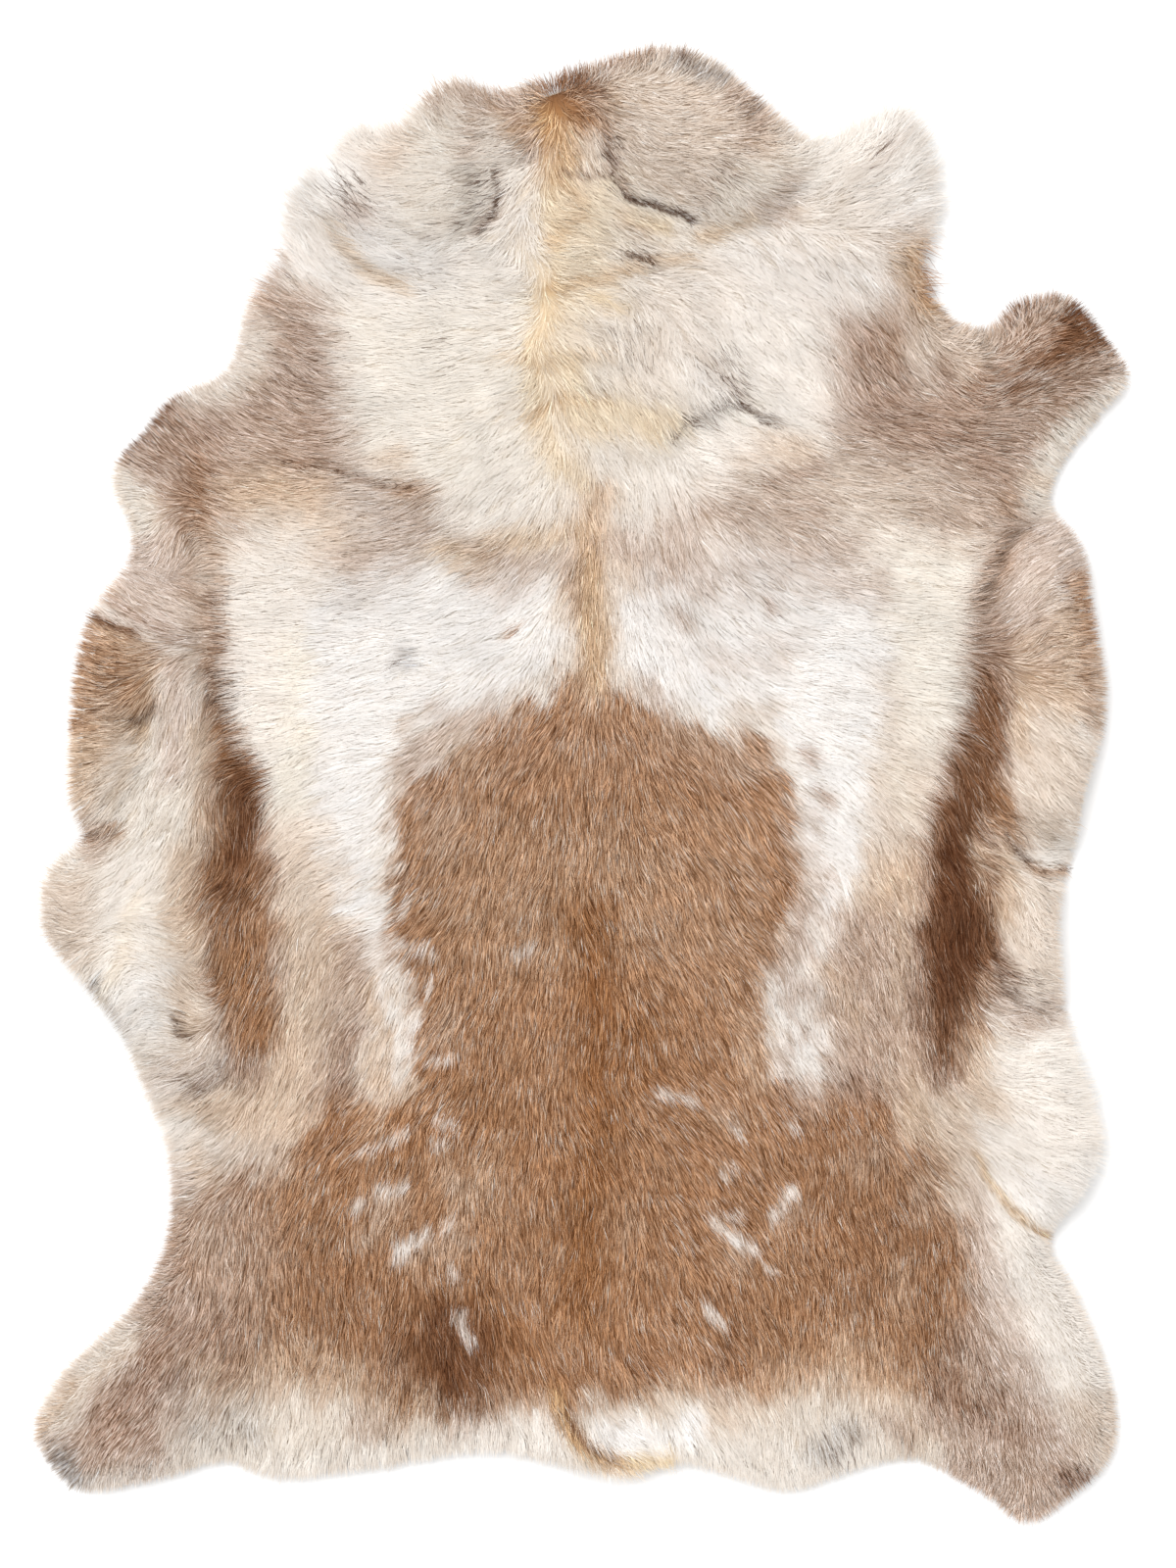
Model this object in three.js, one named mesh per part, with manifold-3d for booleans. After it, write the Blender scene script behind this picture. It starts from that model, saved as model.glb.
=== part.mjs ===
// Reindeer hide, lying flat with its hair side up: one tanned skin with its winter coat.
// Millimetres, +Z up. The spine runs along Y, with the neck at +Y and the tail at -Y.
// The solid is the skin together with its coat: cut out along the edge, as high as the
// hair stands, and hollowed underneath where a fold lifts the skin off the surface.
import * as THREE from "three";
import { mergeVertices } from "three/addons/utils/BufferGeometryUtils.js";
import Module from "manifold-3d";

const COAT_DEPTH = 22;       // skin and lying hair together, over the back
const EDGE_DEPTH = 7;        // the same at the cut edge, where the hair fans out and thins
const EDGE_ROLL = 26;        // how far in from the edge the coat reaches its full depth
const DEEPEST_PRESS = 0.6;   // the most of the coat's depth that a trough can press down
const LIFT_START = 3;        // a fold lifts the skin off the surface from this rise on
const TOP_STEP = 18;         // spacing of the worked points on the hair side
const UNDER_STEP = 36;       // and on the flesh side
const EDGE_STEP = 15;        // and along the edge
const FLANK_CROWDING = 0.3;  // how much closer the columns of points stand towards the flanks
const BLOCK_DEPTH = 20;      // how far the blocks used for cutting reach below the surface
const BLOCK_TOP = 200;       // and above it
const MARGIN = 40;           // and beyond the edge on each side

// The cut edge, clockwise from the crown, by the parts of the animal that it passes.
// Each landmark is [x, y], and a smooth curve runs through them all.
const EDGE = [
  { name: "crown",
    landmarks: [[57, 602], [109, 588], [146, 552], [191, 526]] },
  { name: "right ruff",
    landmarks: [[223, 541], [252, 557], [276, 543], [291, 470], [277, 425], [303, 377], [335, 371]] },
  { name: "right foreleg",
    landmarks: [[354, 394], [397, 398], [435, 352], [449, 338], [422, 305], [384, 254], [380, 228]] },
  { name: "right belly, front lobe",
    landmarks: [[405, 200], [415, 140], [426, 74], [411, -13], [396, -70]] },
  { name: "right belly, middle lobe",
    landmarks: [[387, -100], [388, -142], [394, -195]] },
  { name: "right belly, hind lobe",
    landmarks: [[414, -252], [424, -290], [410, -331], [379, -370]] },
  { name: "right hind leg",
    landmarks: [[402, -413], [434, -502], [430, -548], [394, -581], [361, -603], [332, -581]] },
  { name: "rump, right of the tail",
    landmarks: [[274, -551], [233, -555], [165, -577], [123, -566], [75, -553]] },
  { name: "tail and rump, left of it",
    landmarks: [[35, -566], [-10, -558], [-79, -544], [-157, -556], [-196, -561], [-260, -566]] },
  { name: "left hind leg",
    landmarks: [[-290, -552], [-350, -567], [-422, -575], [-438, -548], [-450, -532], [-426, -481],
      [-374, -432], [-340, -367]] },
  { name: "left flank",
    landmarks: [[-339, -300], [-362, -242], [-378, -200]] },
  { name: "left belly, hind lobe",
    landmarks: [[-418, -152], [-441, -118], [-433, -65], [-404, -42]] },
  { name: "left belly, front lobe",
    landmarks: [[-419, -5], [-418, 70], [-403, 134], [-374, 176]] },
  { name: "left foreleg",
    landmarks: [[-370, 210], [-386, 256], [-354, 294], [-333, 320], [-294, 338], [-274, 388]] },
  { name: "left ruff",
    landmarks: [[-241, 435], [-237, 491], [-200, 513], [-205, 541], [-150, 537]] },
  { name: "neck, left of the crown",
    landmarks: [[-114, 575], [-66, 568], [-14, 582]] },
];

// The folds that the skin dried into. Each runs along a smooth path of [x, y] points. The
// rise is above the lying coat, or a trough where it is negative. The reach is how far it
// spreads on the left-hand side of the path and on the right, so that a fold can be
// steeper on one side than on the other.
const FOLDS = [
  { name: "crown hump", rise: 16, left: 52, right: 46, path: [[48, 542], [102, 518]] },
  { name: "left neck lobe", rise: 20, left: 40, right: 34, path: [[-112, 552], [-128, 462]] },
  { name: "left neck lobe, edge", rise: -10, left: 14, right: 18,
    path: [[-218, 470], [-178, 418], [-140, 402]] },
  { name: "fold beside the crown", rise: -13, left: 15, right: 12, path: [[-90, 572], [-54, 528], [-42, 505]] },
  { name: "crease under the crown", rise: -14, left: 13, right: 15,
    path: [[20, 540], [20, 498], [52, 472], [102, 452], [163, 477]] },
  { name: "crease across the neck", rise: -11, left: 13, right: 13,
    path: [[70, 286], [112, 314], [160, 290]] },
  { name: "right foreleg ridge", rise: 15, left: 26, right: 34, path: [[318, 322], [425, 362]] },
  { name: "right flank trough", rise: -14, left: 16, right: 13,
    path: [[351, 213], [320, 130], [312, 60], [330, -25], [397, -70]] },
  { name: "right flank trough, hind", rise: -12, left: 15, right: 12,
    path: [[335, -63], [332, -125], [350, -184], [390, -194]] },
  { name: "right belly, front lobe", rise: 28, left: 32, right: 28, path: [[370, 165], [380, 80], [374, -10]] },
  { name: "right belly, middle lobe", rise: 20, left: 24, right: 22, path: [[364, -92], [364, -162]] },
  { name: "right belly, hind lobe", rise: 25, left: 34, right: 36, path: [[367, -235], [383, -312]] },
  { name: "right belly, hind overlap", rise: -12, left: 13, right: 16,
    path: [[308, -286], [346, -342], [382, -374]] },
  { name: "right hind leg trough", rise: -8, left: 16, right: 16,
    path: [[300, -265], [294, -405], [296, -500], [291, -560]] },
  { name: "right hind leg ridge", rise: 14, left: 34, right: 30, path: [[334, -366], [395, -543]] },
  { name: "left hind leg trough", rise: -8, left: 16, right: 14, path: [[-350, -432], [-428, -548]] },
  { name: "left hind leg ridge", rise: 11, left: 30, right: 30, path: [[-300, -420], [-372, -535]] },
  { name: "left belly, hind lobe", rise: 26, left: 40, right: 40,
    path: [[-402, -84], [-362, -160], [-320, -226]] },
  { name: "left belly ridge", rise: 20, left: 24, right: 34,
    path: [[-316, 130], [-313, 45], [-332, -60], [-330, -150]] },
  { name: "left belly, front lobe", rise: 26, left: 27, right: 27, path: [[-386, 104], [-393, -12]] },
  { name: "left belly tuck", rise: -14, left: 14, right: 16,
    path: [[-352, 115], [-349, 60], [-369, 2], [-408, -44]] },
  { name: "left flank trough", rise: -12, left: 16, right: 16,
    path: [[-304, 232], [-297, 120], [-290, 40], [-276, -30]] },
  { name: "left foreleg ridge", rise: 14, left: 24, right: 24, path: [[-345, 285], [-322, 190]] },
  { name: "tail", rise: 9, left: 15, right: 15, path: [[-16, -497], [-6, -542], [50, -556]] },
];

// Where the coat is deeper or shorter than over the back, fading out over the reach.
const COAT = [
  { name: "right ruff", x: 235, y: 500, more: 8, reach: 90 },
  { name: "left ruff", x: -195, y: 480, more: 8, reach: 80 },
  { name: "right foreleg", x: 410, y: 330, more: -8, reach: 75 },
  { name: "left foreleg", x: -350, y: 270, more: -7, reach: 70 },
  { name: "right hind leg", x: 385, y: -520, more: -8, reach: 100 },
  { name: "left hind leg", x: -400, y: -520, more: -8, reach: 100 },
];

// A smooth curve through flat points, and evenly spaced points along it.
function along(points, closed, step) {
  const flat = points.map(([x, y]) => new THREE.Vector3(x, y, 0));
  const curve = new THREE.CatmullRomCurve3(flat, closed, "centripetal");
  const count = Math.max(2, Math.round(curve.getLength() / step));
  const spaced = curve.getSpacedPoints(count);
  return closed ? spaced.slice(0, -1) : spaced;
}

// The nearest place on a chain of points: how far off it is, and on which side.
function nearest(chain, x, y, closed) {
  let best = { gap: Infinity, side: 1 };
  const last = closed ? chain.length : chain.length - 1;
  for (let i = 0; i < last; i += 1) {
    const from = chain[i];
    const to = chain[(i + 1) % chain.length];
    const dx = to.x - from.x;
    const dy = to.y - from.y;
    const share = ((x - from.x) * dx + (y - from.y) * dy) / (dx * dx + dy * dy);
    const t = THREE.MathUtils.clamp(share, 0, 1);
    const gap = Math.hypot(x - from.x - t * dx, y - from.y - t * dy);
    if (gap < best.gap) {
      best = { gap, side: Math.sign(dx * (y - from.y) - dy * (x - from.x)) };
    }
  }
  return best;
}

const edge = along(EDGE.flatMap((stretch) => stretch.landmarks), true, EDGE_STEP);
const folds = FOLDS.map((fold) => ({ ...fold, chain: along(fold.path, false, EDGE_STEP) }));

// A bell that is 1 at its middle and has all but faded at twice its reach.
const bell = (gap, reach) => Math.exp(-((gap / reach) ** 2));

// How far the folds raise the coat at a place, or press it down.
function relief(x, y) {
  let rise = 0;
  for (const fold of folds) {
    const { gap, side } = nearest(fold.chain, x, y, false);
    rise += fold.rise * bell(gap, side > 0 ? fold.left : fold.right);
  }
  return rise;
}

// The depth of skin and coat at a place, rounded down towards the edge.
function depth(x, y) {
  let full = COAT_DEPTH;
  for (const patch of COAT) {
    full += patch.more * bell(Math.hypot(x - patch.x, y - patch.y), patch.reach);
  }
  const { gap, side } = nearest(edge, x, y, true);
  const inwards = side < 0 ? Math.min(gap / EDGE_ROLL, 1) : 0;
  return EDGE_DEPTH + (full - EDGE_DEPTH) * Math.sin(inwards * Math.PI / 2);
}

function hairTops(x, y) {
  const coat = depth(x, y);
  return coat + Math.max(relief(x, y), -DEEPEST_PRESS * coat);
}

function fleshSide(x, y) {
  return Math.max(0, relief(x, y) - LIFT_START);
}

// The ground's extent: the box of the edge and a margin.
const reach = new THREE.Box3().setFromPoints(edge).expandByScalar(MARGIN);

// A block of ground with the given heights on top, as a closed geometry. Its columns of
// points stand closer together towards the flanks, where the folds run along the spine.
function ground(height, step) {
  const size = reach.getSize(new THREE.Vector3());
  const middle = reach.getCenter(new THREE.Vector3());
  const columns = Math.round(size.x / step);
  const rows = Math.round(size.y / step);
  const block = new THREE.BoxGeometry(size.x, size.y, BLOCK_DEPTH, columns, rows, 1);
  const place = block.attributes.position;
  for (let i = 0; i < place.count; i += 1) {
    const outwards = place.getX(i) / (size.x / 2);
    const x = middle.x + place.getX(i) * (1 + FLANK_CROWDING * (1 - outwards ** 2));
    const y = middle.y + place.getY(i);
    place.setXYZ(i, x, y, place.getZ(i) > 0 ? height(x, y) : -BLOCK_DEPTH);
  }
  return block;
}

// The hide's outline as an upright block.
function cutOut() {
  const shape = new THREE.Shape(edge.map((point) => new THREE.Vector2(point.x, point.y)));
  const block = new THREE.ExtrudeGeometry(shape, { depth: BLOCK_TOP, bevelEnabled: false, steps: 1 });
  return block.translate(0, 0, -BLOCK_DEPTH / 2);
}

const wasm = await Module();
wasm.setup();

function toSolid(geometry) {
  const bare = geometry.clone();
  bare.deleteAttribute("normal");
  bare.deleteAttribute("uv");
  const merged = mergeVertices(bare, 1e-4);
  return new wasm.Manifold(new wasm.Mesh({
    numProp: 3,
    vertProperties: new Float32Array(merged.attributes.position.array),
    triVerts: new Uint32Array(merged.index.array),
  }));
}

function toGeometry(solid) {
  const { vertProperties, triVerts } = solid.getMesh();
  const geometry = new THREE.BufferGeometry();
  geometry.setAttribute("position", new THREE.BufferAttribute(new Float32Array(vertProperties), 3));
  geometry.setIndex(new THREE.BufferAttribute(new Uint32Array(triVerts), 1));
  geometry.computeVertexNormals();
  return geometry;
}

const underTheTops = toSolid(cutOut()).intersect(toSolid(ground(hairTops, TOP_STEP)));
const lying = toGeometry(underTheTops.subtract(toSolid(ground(fleshSide, UNDER_STEP))));

// The origin is the middle of the hide's box, on the surface that it lies on.
lying.computeBoundingBox();
const middle = lying.boundingBox.getCenter(new THREE.Vector3());
lying.translate(-middle.x, -middle.y, -lying.boundingBox.min.z);

const coat = new THREE.MeshStandardMaterial({ color: 0xc2a88c, roughness: 0.85, metalness: 0 });
const hide = new THREE.Mesh(lying, coat);
hide.name = "hide";

const part = new THREE.Group();
part.add(hide);
export default part;
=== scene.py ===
import math

import bpy
import numpy as np
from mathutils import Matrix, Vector
from mathutils.bvhtree import BVHTree
from mathutils.kdtree import KDTree


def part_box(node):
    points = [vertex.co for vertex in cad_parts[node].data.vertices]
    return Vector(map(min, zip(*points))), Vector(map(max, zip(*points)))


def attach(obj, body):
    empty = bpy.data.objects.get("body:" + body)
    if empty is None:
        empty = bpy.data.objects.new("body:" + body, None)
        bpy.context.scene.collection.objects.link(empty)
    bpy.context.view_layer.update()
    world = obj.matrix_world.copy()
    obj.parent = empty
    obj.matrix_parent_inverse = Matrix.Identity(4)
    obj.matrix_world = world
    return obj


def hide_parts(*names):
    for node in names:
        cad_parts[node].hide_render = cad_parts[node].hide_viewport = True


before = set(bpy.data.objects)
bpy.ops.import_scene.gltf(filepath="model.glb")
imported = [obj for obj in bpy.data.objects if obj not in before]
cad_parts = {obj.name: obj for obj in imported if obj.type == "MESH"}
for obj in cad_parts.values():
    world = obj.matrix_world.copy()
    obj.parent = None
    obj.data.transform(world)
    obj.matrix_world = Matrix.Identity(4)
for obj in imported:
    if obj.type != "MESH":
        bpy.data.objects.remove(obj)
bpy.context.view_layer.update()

bpy.ops.object.select_all(action="DESELECT")

# ---------------------------------------------------------------------------------------
# The view: straight down on the hide where it lies, with the neck at the top. The lens is
# long, so the sides of the folds hardly show.
# ---------------------------------------------------------------------------------------
MM = 0.001                        # every table below is in millimetres
UNDER_CAMERA = (3.6, 2.0)         # the spot that the camera looks straight down on
SEEN_LENGTH = 1280.0              # how much of the surface shows from top to bottom
LENS, SENSOR = 100.0, 36.0
HAIR_LEVEL = 18.0                 # the height at which the view has that size

eye = bpy.data.cameras.new("camera")
eye.lens, eye.sensor_width = LENS, SENSOR
camera = bpy.data.objects.new("camera", eye)
bpy.context.scene.collection.objects.link(camera)
height = SEEN_LENGTH * LENS / SENSOR + HAIR_LEVEL
camera.location = (UNDER_CAMERA[0] * MM, UNDER_CAMERA[1] * MM, height * MM)
bpy.context.scene.camera = camera
bpy.context.scene.view_settings.view_transform = "Standard"

# ---------------------------------------------------------------------------------------
# The form: how high the hide lies, how far any spot is from its edge, and which way is out.
# It is read off the solid once, and every layer of the hide is laid on it.
# ---------------------------------------------------------------------------------------
STEP = 3.0                        # spacing of the spots that are read, in millimetres
BEYOND = 60.0                     # how far past the hide the reading goes
EVEN_OUT = 7.0                    # the solid's facets are evened out over this distance
EDGE_EVEN_OUT = 5.0               # and its outline over this one
WALL_TILT = 0.1                   # a face that looks up or down by less is upright wall
WALL_MARKS = 4                    # marks along each side of such a face

low, high = (np.array(corner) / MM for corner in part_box("hide"))
west, south = low[0] - BEYOND, low[1] - BEYOND
spots_x = np.arange(west, high[0] + BEYOND, STEP)
spots_y = np.arange(south, high[1] + BEYOND, STEP)
field_x, field_y = np.meshgrid(spots_x, spots_y, indexing="ij")


def read(field, x, y):
    """The value of a field of spots at any places, between its spots."""
    u = np.clip((x - west) / STEP, 0, field.shape[0] - 1.001)
    v = np.clip((y - south) / STEP, 0, field.shape[1] - 1.001)
    i, j = u.astype(int), v.astype(int)
    s, t = u - i, v - j
    if field.ndim == 3:
        s, t = s[:, None], t[:, None]
    near = field[i, j] * (1 - s) + field[i + 1, j] * s
    far = field[i, j + 1] * (1 - s) + field[i + 1, j + 1] * s
    return near * (1 - t) + far * t


def evened(field, counted, distance):
    """The field blurred over a distance, using only the spots that are counted."""
    reach = int(3 * distance / STEP) + 1
    bell = np.exp(-0.5 * (np.arange(-reach, reach + 1) * STEP / distance) ** 2)

    def blur(values):
        for axis in (0, 1):
            values = np.apply_along_axis(np.convolve, axis, values, bell, mode="same")
        return values

    return blur(field * counted) / np.maximum(blur(counted.astype(float)), 1e-9)


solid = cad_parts["hide"].data
tree = BVHTree.FromPolygons(
    [v.co for v in solid.vertices], [tuple(p.vertices) for p in solid.polygons])
tops = np.zeros(field_x.shape)
unders = np.zeros(field_x.shape)
on_hide = np.zeros(field_x.shape, bool)
for i, x in enumerate(spots_x):
    for j, y in enumerate(spots_y):
        top = tree.ray_cast(Vector((x * MM, y * MM, 1)), Vector((0, 0, -1)))[0]
        if top:
            under = tree.ray_cast(Vector((x * MM, y * MM, -1)), Vector((0, 0, 1)))[0]
            on_hide[i, j] = True
            tops[i, j], unders[i, j] = top.z / MM, under.z / MM
tops = evened(tops, on_hide, EVEN_OUT)
unders = evened(unders, on_hide, EVEN_OUT)

# The upright wall round the solid is the line that the hair reaches all round.
wall = KDTree(3 * WALL_MARKS * len(solid.polygons))
for face in solid.polygons:
    if abs(face.normal.z) < WALL_TILT:
        corners = [solid.vertices[v].co for v in face.vertices]
        flat = [Vector((c.x, c.y, 0)) / MM for c in corners]
        for k in range(3):
            for mark in range(WALL_MARKS):
                wall.insert(flat[k].lerp(flat[k - 1], mark / WALL_MARKS), 0)
wall.balance()
edge_gap = np.zeros(field_x.shape)
for i, x in enumerate(spots_x):
    for j, y in enumerate(spots_y):
        gap = wall.find(Vector((x, y, 0)))[2]
        edge_gap[i, j] = gap if on_hide[i, j] else -gap
smooth_gap = evened(edge_gap, np.ones(field_x.shape), EDGE_EVEN_OUT)
slope_x, slope_y = np.gradient(smooth_gap, STEP)
steepness = np.maximum(np.hypot(slope_x, slope_y), 1e-6)
outward_x, outward_y = -slope_x / steepness, -slope_y / steepness

# ---------------------------------------------------------------------------------------
# Creases: narrow tucks that the skin dried into, sharper than the solid's folds. Each has
# its depth, half width, how many dark hairs show in it, and the [x, y] path it follows.
# ---------------------------------------------------------------------------------------
LEAST_COAT = 4.0                  # hair left over the skin in the deepest crease
CREASES = [
    # depth, half width, dark hairs to each millimetre, path
    (4, 4, 1.2, [(16, 530), (13, 516), (22, 510), (17, 499), (29, 485)]),
    (4, 2.5, 4.2, [(29, 483), (39, 476), (52, 474), (64, 468), (73, 467), (84, 459)]),
    (3, 3, 0.3, [(-20, 500), (11, 498), (16, 502)]),                 # under the gold hair
    (4, 4, 2.6, [(27, 434), (42, 430), (54, 423)]),                  # on the neck
    (5, 3, 2.8, [(66, 282), (78, 296), (94, 304), (114, 313)]),
    (4, 3, 1.8, [(116, 314), (128, 308), (136, 300), (154, 292)]),
    (8, 8, 0, [(-92, 571), (-70, 550), (-46, 516)]),                 # beside the crown
    (5, 5, 2.6, [(-74, 503), (-70, 486), (-74, 466), (-88, 448)]),
    (4, 8, 0, [(-212, 462), (-196, 430), (-165, 410), (-140, 404)]),  # left ruff
    (3, 5, 0.5, [(-205, 256), (-175, 246), (-142, 242)]),            # left shoulder
    (2, 9, 0, [(100, 449), (131, 459), (160, 478)]),
    (4, 7, 0, [(-40, 340), (-20, 350), (30, 345)]),
    (4, 7, 0, [(-36, 400), (0, 412), (45, 424)]),
    (3, 5, 0, [(-30, 318), (0, 326), (40, 318)]),
    (3, 5, 0, [(-30, 452), (0, 446), (26, 452)]),
    (6, 7, 0.4, [(-305, 165), (-302, 120), (-296, 70), (-284, 20)]),  # left flank
    (6, 4, 0.5, [(-406, 138), (-388, 128), (-372, 121)]),
    (5, 4, 1.0, [(-371, 50), (-360, 56), (-352, 66)]),
    (8, 4, 1.6, [(-408, -44), (-392, -40), (-382, -36)]),
    (6, 4, 1.6, [(-334, -186), (-332, -202), (-318, -208)]),
    (3, 5, 0.6, [(-300, -222), (-294, -240), (-312, -250)]),
    (8, 6, 0.5, [(348, 205), (333, 175), (322, 150)]),               # right flank
    (3, 4, 0.8, [(338, -36), (350, -58), (372, -72), (396, -68)]),
    (6, 5, 0.8, [(328, -100), (330, -140), (338, -168), (350, -180)]),
    (4, 3, 0, [(312, -298), (326, -325), (346, -350), (376, -370)]),
    (5, 9, 0, [(290, -390), (294, -440), (292, -500)]),              # right hind leg
    (8, 7, 0.3, [(322, 372), (322, 345), (330, 330)]),               # right foreleg
]


def gap_to(chain, x, y):
    """How far each place is from a chain of [x, y] points."""
    best = np.full(x.shape, np.inf)
    for (ax, ay), (bx, by) in zip(chain, chain[1:]):
        dx, dy = bx - ax, by - ay
        share = ((x - ax) * dx + (y - ay) * dy) / max(dx * dx + dy * dy, 1e-9)
        share = np.clip(share, 0, 1)
        best = np.minimum(best, np.hypot(x - ax - share * dx, y - ay - share * dy))
    return best


pressed = np.zeros(field_x.shape)
for depth, half_width, _, path in CREASES:
    gap = gap_to(path, field_x - UNDER_CAMERA[0], field_y - UNDER_CAMERA[1])
    pressed = np.maximum(pressed, depth * np.exp(-(gap / half_width) ** 2))
hair_tops = np.maximum(tops - pressed, unders + LEAST_COAT)

# ---------------------------------------------------------------------------------------
# The skin: one tanned reindeer skin, about a millimetre and a half thick, left in one
# piece from neck to tail and dried with its belly edges curled. The flesh side is suede.
# ---------------------------------------------------------------------------------------
SKIN_THICK = 1.6
SKIN_INSET = 10.0                 # the cut edge of the skin lies this far inside the hair's reach
SKIN_STEP = 14.0                  # spacing of its corners
RIM_PULLS = 3                     # times that the outer corners are drawn towards the edge
MAP_MARGIN = 0.005                # a piece's flat map stays this share inside its square
SUEDE_PALE = (0.86, 0.78, 0.66, 1)
SUEDE_DARK = (0.72, 0.60, 0.45, 1)
CLOUDS_A_METRE = 9.0
NAP_A_METRE = 900.0
NAP_DEPTH = 0.0004                # in metres
COLOUR_A, COLOUR_B, MIXED = 6, 7, 2         # the colour sockets of a Mix node


def grid_of(step, inset):
    """Squares that cover the hide up to an inset from its edge: their corners and faces."""
    xs = np.arange(low[0], high[0], step)
    ys = np.arange(low[1], high[1], step)
    x, y = np.meshgrid(xs, ys, indexing="ij")
    x, y = x.ravel(), y.ravel()
    number = np.arange(x.size).reshape(len(xs), len(ys))
    squares = np.stack([number[:-1, :-1], number[1:, :-1], number[1:, 1:], number[:-1, 1:]], -1)
    squares = squares.reshape(-1, 4)
    gap = read(smooth_gap, x, y)
    squares = squares[(gap[squares] > inset).sum(axis=1) >= 3]   # at least three corners inside
    used = np.unique(squares)
    place = np.zeros(x.size, int)
    place[used] = np.arange(used.size)
    squares = place[squares]
    x, y = x[used], y[used]
    rim = np.bincount(squares.ravel(), minlength=x.size) < 4
    for _ in range(RIM_PULLS):
        away = np.where(rim, read(smooth_gap, x, y) - inset, 0)
        x = x + read(outward_x, x, y) * away
        y = y + read(outward_y, x, y) * away
    return x, y, squares


def mesh_piece(name, corners, faces):
    """An object made of corners in millimetres and faces, all with the same number of sides.

    Its flat map is its plan seen from above, so the coat's colours keep their places on it.
    """
    mesh = bpy.data.meshes.new(name)
    faces = np.asarray(faces)
    sides = faces.shape[1]
    mesh.vertices.add(len(corners))
    mesh.vertices.foreach_set("co", (np.asarray(corners) * MM).ravel())
    mesh.loops.add(faces.size)
    mesh.loops.foreach_set("vertex_index", faces.ravel().astype(np.int32))
    mesh.polygons.add(len(faces))
    mesh.polygons.foreach_set("loop_start", np.arange(0, faces.size, sides, dtype=np.int32))
    mesh.polygons.foreach_set("use_smooth", np.ones(len(faces), bool))
    plan = np.asarray(corners)[:, :2]
    plan = (plan - plan.min(axis=0)) / np.ptp(plan, axis=0)
    plan = MAP_MARGIN + (1 - 2 * MAP_MARGIN) * plan
    mesh.uv_layers.new(name="OFBake").data.foreach_set("uv", plan[faces.ravel()].ravel())
    mesh.update(calc_edges=True)
    piece = bpy.data.objects.new(name, mesh)
    bpy.context.scene.collection.objects.link(piece)
    return piece


class Shader:
    """A material, and the one way to add nodes to it."""

    def __init__(self, name):
        self.material = bpy.data.materials.new(name)
        self.material.use_nodes = True
        self.tree = self.material.node_tree
        self.finish = self.tree.nodes["Principled BSDF"]

    def node(self, kind, settings=None, values=None, output=0):
        """Adds a node with its settings and its sockets' values, and gives back an output."""
        made = self.tree.nodes.new(kind)
        for setting, value in (settings or {}).items():
            setattr(made, setting, value)
        for socket, value in (values or {}).items():
            self.put(made.inputs[socket], value)
        return made.outputs[output]

    def put(self, socket, value):
        """Links an output to a socket, or gives the socket a value of its own."""
        if isinstance(value, bpy.types.NodeSocket):
            self.tree.links.new(value, socket)
        else:
            socket.default_value = value

    def surface(self, **values):
        """Sets the finish's sockets, named with _ for a space, and gives back the material."""
        for socket, value in values.items():
            self.put(self.finish.inputs[socket.replace("_", " ")], value)
        return self.material


def suede():
    """Undyed tanned flesh side: a fine nap, with faint darker clouds from the tanning."""
    shader = Shader("suede")
    place = shader.node("ShaderNodeTexCoord", output="Object")
    clouds = shader.node("ShaderNodeTexNoise", values={
        "Vector": place, "Scale": CLOUDS_A_METRE, "Detail": 4.0})
    nap = shader.node("ShaderNodeTexNoise", values={
        "Vector": place, "Scale": NAP_A_METRE, "Detail": 3.0})
    tan = shader.node("ShaderNodeMix", {"data_type": "RGBA"}, {
        "Factor": clouds, COLOUR_A: SUEDE_DARK, COLOUR_B: SUEDE_PALE}, output=MIXED)
    bump = shader.node("ShaderNodeBump", values={
        "Strength": 0.5, "Distance": NAP_DEPTH, "Height": nap})
    return shader.surface(Base_Color=tan, Roughness=0.9, Normal=bump)


def closed_layer(name, upper, lower, squares):
    """A closed layer between two sheets of corners that share their squares."""
    count = len(upper)
    sides = np.concatenate([squares[:, [k, (k + 1) % 4]] for k in range(4)])
    key = np.sort(sides, axis=1) @ np.array([count, 1])
    _, first, times = np.unique(key, return_index=True, return_counts=True)
    rim = sides[first[times == 1]]
    walls = np.stack([rim[:, 1], rim[:, 0], rim[:, 0] + count, rim[:, 1] + count], -1)
    faces = np.concatenate([squares, squares[:, ::-1] + count, walls])
    return mesh_piece(name, np.concatenate([upper, lower]), faces)


x, y, squares = grid_of(SKIN_STEP, SKIN_INSET)
skin_under = read(unders, x, y)
flesh = np.stack([x, y, skin_under], -1)
grain = np.stack([x, y, skin_under + SKIN_THICK], -1)
skin = closed_layer("skin", grain, flesh, squares)
skin.data.materials.append(suede())
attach(skin, "root")
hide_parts("hide")

# ---------------------------------------------------------------------------------------
# The coat's colours: a winter coat with a brown saddle, white shoulders and a cream neck.
# Tones are as seen (0 to 255). A patch is a ring of [x, y] corners with a ragged border,
# and a stroke follows a path. Later rows lie over earlier ones.
# Some rows paint shade into creases, troughs and hollows, and some paint paler tones as painted
# light where the hide's form falls into shade; their comments say so.
# ---------------------------------------------------------------------------------------
TONES = {
    "white": (241, 237, 233), "milk": (237, 230, 222), "cream": (240, 233, 221),
    "oat": (227, 218, 207), "linen": (225, 211, 197), "ash": (216, 209, 203),
    "dun": (213, 196, 180), "sand": (209, 182, 156), "blush": (206, 188, 175),
    "straw": (230, 205, 165), "ochre": (200, 160, 115), "fawn": (181, 154, 135),
    "taupe": (150, 116, 94), "saddle": (162, 117, 83), "chestnut": (144, 95, 58),
    "bark": (118, 78, 52), "umber": (88, 52, 32), "slate": (122, 114, 110), "soot": (72, 49, 36),
}
CHART_STEP = 2.5                  # spacing of the spots that the colours are worked out on
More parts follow.
